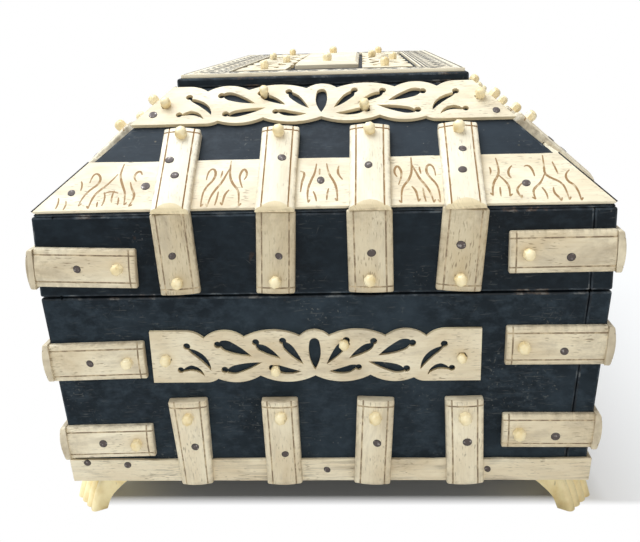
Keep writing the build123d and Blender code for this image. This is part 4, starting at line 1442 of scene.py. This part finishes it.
class CASKET_OT_feet(Operator):
    """Splayed bracket feet with rounded reeds"""

    bl_idname = "casket.feet"
    bl_label = "Feet"

    # How far up the faces of the splayed front look.
    SPLAY = (0.25, 0.6)
    # Edges this nearly along the front run up it. Past this angle, in radians, they are no reeds.
    ALONG = 0.995
    OUTER = 1.2
    # Heights, as shares of the foot, where it is cut so that it can swell.
    LEVELS = (0.15, 0.3, 0.45, 0.6, 0.75, 0.9)
    # How deep wear and swell reach, how the arms flare toward the heel, and the easing of all other edges.
    SKIN = 4 * MM
    FLARE = 0.7
    EASED = 0.35 * MM

    def execute(self, context):
        for end in ENDS:
            for front in ("front", "back"):
                self.carve(f"foot_{front}_{end}")
        return {"FINISHED"}

    def carve(self, node):
        """Round the reeds and outer edges of a foot, swell its outer face and draw out its arms."""
        size = sizes()
        foot = solid_copy(node, f"{node}_carved")
        slanted = [p for p in foot.data.polygons if self.SPLAY[0] < p.normal.z < self.SPLAY[1]]
        out = sum((p.normal * p.area for p in slanted), Vector()).normalized()
        outermost = max(vert.co.dot(out) for vert in foot.data.vertices)
        rise = Vector((-out.x * out.z, -out.y * out.z, 1 - out.z * out.z)).normalized()

        def on_front(edge):
            one, two = edge.verts
            run = (one.co - two.co).normalized()
            outward = min(v.co.dot(out) for v in edge.verts) > outermost - SEAT
            return abs(run.dot(rise)) > self.ALONG and outward

        edit(foot)
        pick(foot, "EDGE", lambda e: on_front(e) and 0 < e.calc_face_angle_signed(0) < self.OUTER)
        bpy.ops.mesh.bevel(offset=size.reed_round, segments=4, affect="EDGES")
        pick(foot, "EDGE", lambda e: on_front(e) and e.calc_face_angle(0) > self.OUTER)
        bpy.ops.mesh.bevel(offset=size.foot_round, segments=5, affect="EDGES")
        for share in self.LEVELS:
            cut((0, 0, share * z_base), (0, 0, 1))
        rest()
        flat = Vector((out.x, out.y, 0)).normalized()
        for vert in foot.data.vertices:
            depth = outermost - vert.co.dot(out)
            share = max(0, 1 - depth / self.SKIN)
            vert.co += out * depth * share * size.reed_wear
            vert.co += flat * share * size.foot_bulge * math.sin(math.pi * min(1, vert.co.z / z_base))
        front = max(vert.co.dot(flat) for vert in foot.data.vertices)
        sole = front - min(vert.co.dot(flat) for vert in foot.data.vertices if vert.co.z < MERGE)
        heel = front - min(vert.co.dot(flat) for vert in foot.data.vertices)
        aside = Vector((-flat.y, flat.x, 0))
        middle = sum(vert.co.dot(aside) for vert in foot.data.vertices) / len(foot.data.vertices)
        half = max(abs(vert.co.dot(aside) - middle) for vert in foot.data.vertices)
        for vert in foot.data.vertices:
            behind = max(0, (front - vert.co.dot(flat) - sole) / (heel - sole))
            vert.co += aside * size.foot_reach * behind**self.FLARE * (vert.co.dot(aside) - middle) / half
        soften(foot, self.EASED)
        smooth(foot, "foot")
        cover(foot, "foot")
        declare(foot, "box", "feet", node)


class CASKET_OT_hinges(Operator):
    """Brass for the hinges and their screws"""

    bl_idname = "casket.hinges"
    bl_label = "Hinges"

    def execute(self, context):
        for name in ("box_leaves", "lid_leaves", "pins", "box_screws", "lid_screws"):
            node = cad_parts[f"hinge_{name}"]
            node.data.materials.clear()
            node.data.materials.append(finish_of("brass"))
        return {"FINISHED"}


class CASKET_OT_stage(Operator):
    """Pale floor, soft studio light and the camera"""

    bl_idname = "casket.stage"
    bl_label = "Stage"

    # Each lamp's place, aim, colour, width and height.
    KEY = ((0.06, -0.38, 1.0), (0, 0, 0.06), (0.93, 1.0, 1.07), 0.9, 0.9)
    CARD = ((0.82, 0.27, 0.17), (0, 0, 0.04), (1.0, 0.94, 0.83), 1.0, 0.32)
    FLOOR = (0.82, 0.83, 0.83, 1)
    AMBIENT = (0.97, 0.985, 1, 1)
    WHITE = (1, 1, 1, 1)
    # Where the floor's shade turns white, in mm past the near end, the left side and the right side, and where
    # it thins out on the right. Last, in metres from the middle, where it ends all round.
    SHADE_NEAR = (-19.5, -13)
    SHADE_LEFT = (-4, 6)
    SHADE_RIGHT = (-8, 8)
    SHADE_THIN = (5, 150)
    SHADE_END = (0.2, 0.45)
    # Size of the floor and nearest sight in metres, and width of the sensor in mm.
    FLOOR_SIZE = 8
    NEAREST = 0.01
    SENSOR = 36

    def execute(self, context):
        scene = context.scene
        stage = scene.casket_stage
        scene.view_settings.view_transform = "Standard"
        self.floor()
        self.surround(stage.fill)
        self.lamp("key_light", stage.key, *self.KEY)
        self.lamp("bounce_card", stage.bounce, *self.CARD)
        self.camera(stage)
        return {"FINISHED"}

    def floor(self):
        """A pale floor, white to the camera but for the shade under the casket and on its right."""
        rest()
        bpy.ops.mesh.primitive_plane_add(size=self.FLOOR_SIZE, location=(0, 0, 0))
        floor = bpy.context.object
        floor.name = "floor"
        pale = Finish("pale_floor", 0.9)
        pale.set(base_color=self.FLOOR, specular_ior_level=0.1)
        place = pale.place("Object", (1, 1, 1))
        split = pale.put("ShaderNodeSeparateXYZ", {0: place})
        x = split.outputs["X"]
        y = split.outputs["Y"]

        def past(edge, reach):
            return [edge + off * MM for off in reach]

        near = pale.band(x, *past(half_length, self.SHADE_NEAR))
        left = pale.band(y, *past(-half_width, self.SHADE_LEFT), 1, 0)
        right = pale.band(y, *past(half_width, self.SHADE_RIGHT))
        right = pale.times(right, pale.band(y, *past(half_width, self.SHADE_THIN), 0.5, 1))
        away = pale.put("ShaderNodeVectorMath", {0: place}, operation="LENGTH")
        share = pale.band(away.outputs["Value"], *self.SHADE_END)
        for part in (near, left, right):
            share = pale.math("MAXIMUM", share, part)
        seen = pale.put("ShaderNodeLightPath").outputs["Is Camera Ray"]
        white = pale.put("ShaderNodeEmission", {"Color": self.WHITE, "Strength": 1.0}).outputs[0]
        share = pale.times(share, seen)
        mixed = pale.put("ShaderNodeMixShader", {0: share, 1: pale.shader.outputs[0], 2: white}).outputs[0]
        pale.links.new(mixed, pale.nodes["Material Output"].inputs["Surface"])
        floor.data.materials.append(pale.material)

    def surround(self, strength):
        """Soft light from all round, white where the camera, a gloss or a clear surface sees it."""
        world = bpy.data.worlds.new("white_surround")
        bpy.context.scene.world = world
        world.use_nodes = True
        nodes = world.node_tree.nodes
        links = world.node_tree.links
        ambient = nodes["Background"]
        ambient.inputs["Color"].default_value = self.AMBIENT
        ambient.inputs["Strength"].default_value = strength
        white = nodes.new("ShaderNodeBackground")
        white.inputs["Color"].default_value = self.WHITE
        path = nodes.new("ShaderNodeLightPath")
        glossy = nodes.new("ShaderNodeMath")
        glossy.operation = "MAXIMUM"
        clear = nodes.new("ShaderNodeMath")
        clear.operation = "MAXIMUM"
        links.new(path.outputs["Is Camera Ray"], glossy.inputs[0])
        links.new(path.outputs["Is Glossy Ray"], glossy.inputs[1])
        links.new(glossy.outputs[0], clear.inputs[0])
        links.new(path.outputs["Is Transmission Ray"], clear.inputs[1])
        seen = nodes.new("ShaderNodeMixShader")
        links.new(clear.outputs[0], seen.inputs[0])
        links.new(ambient.outputs[0], seen.inputs[1])
        links.new(white.outputs[0], seen.inputs[2])
        links.new(seen.outputs[0], nodes["World Output"].inputs["Surface"])

    def lamp(self, name, power, place, aim, colour, width, height):
        """A soft rectangular light."""
        rest()
        bpy.ops.object.light_add(type="AREA", location=place)
        lamp = bpy.context.object
        lamp.name = name
        lamp.data.shape = "RECTANGLE"
        lamp.data.size = width
        lamp.data.size_y = height
        lamp.data.energy = power
        lamp.data.color = colour
        lamp.rotation_euler = (Vector(aim) - Vector(place)).to_track_quat("-Z", "Y").to_euler()

    def camera(self, stage):
        """The camera, set by its place, its direction and what is right of it."""
        rest()
        bpy.ops.object.camera_add(location=stage.eye)
        camera = bpy.context.object
        back = -Vector(stage.look).normalized()
        across = Vector(stage.across)
        up = back.cross(across).normalized()
        camera.rotation_euler = Matrix((up.cross(back), up, back)).transposed().to_euler()
        camera.data.lens = stage.lens
        camera.data.sensor_width = self.SENSOR
        camera.data.clip_start = self.NEAREST
        bpy.context.scene.camera = camera


STEPS = (
    CASKET_OT_boards, CASKET_OT_straps, CASKET_OT_bands, CASKET_OT_strips, CASKET_OT_pegs, CASKET_OT_pins,
    CASKET_OT_vines, CASKET_OT_scrolls, CASKET_OT_feet, CASKET_OT_hinges, CASKET_OT_stage,
)
GROUPS = {"casket_sizes": CasketSizes, "casket_colours": CasketColours, "casket_stage": CasketStage}


class CASKET_PT_tools(Panel):
    """The casket's pieces, in the order that they are made"""

    bl_idname = "CASKET_PT_tools"
    bl_label = "Bone casket"
    bl_space_type = "VIEW_3D"
    bl_region_type = "UI"
    bl_category = "Casket"

    def draw(self, context):
        """Every size and colour, and a button for every step."""
        for name, group in GROUPS.items():
            box = self.layout.box()
            for key in group.__annotations__:
                box.prop(getattr(context.scene, name), key)
        for step in STEPS:
            self.layout.operator(step.bl_idname)


def register():
    for item in (*GROUPS.values(), *STEPS, CASKET_PT_tools):
        bpy.utils.register_class(item)
    for name, group in GROUPS.items():
        setattr(bpy.types.Scene, name, PointerProperty(type=group))


def unregister():
    for name in GROUPS:
        delattr(bpy.types.Scene, name)
    for item in (CASKET_PT_tools, *reversed(STEPS), *reversed(GROUPS.values())):
        bpy.utils.unregister_class(item)


def main():
    """Make every piece and the stage."""
    register()
    bpy.ops.casket.boards()
    bpy.ops.casket.straps()
    bpy.ops.casket.bands()
    bpy.ops.casket.strips()
    bpy.ops.casket.pegs()
    bpy.ops.casket.pins()
    bpy.ops.casket.vines()
    bpy.ops.casket.scrolls()
    bpy.ops.casket.feet()
    bpy.ops.casket.hinges()
    bpy.ops.casket.stage()


if __name__ == "__main__":
    main()
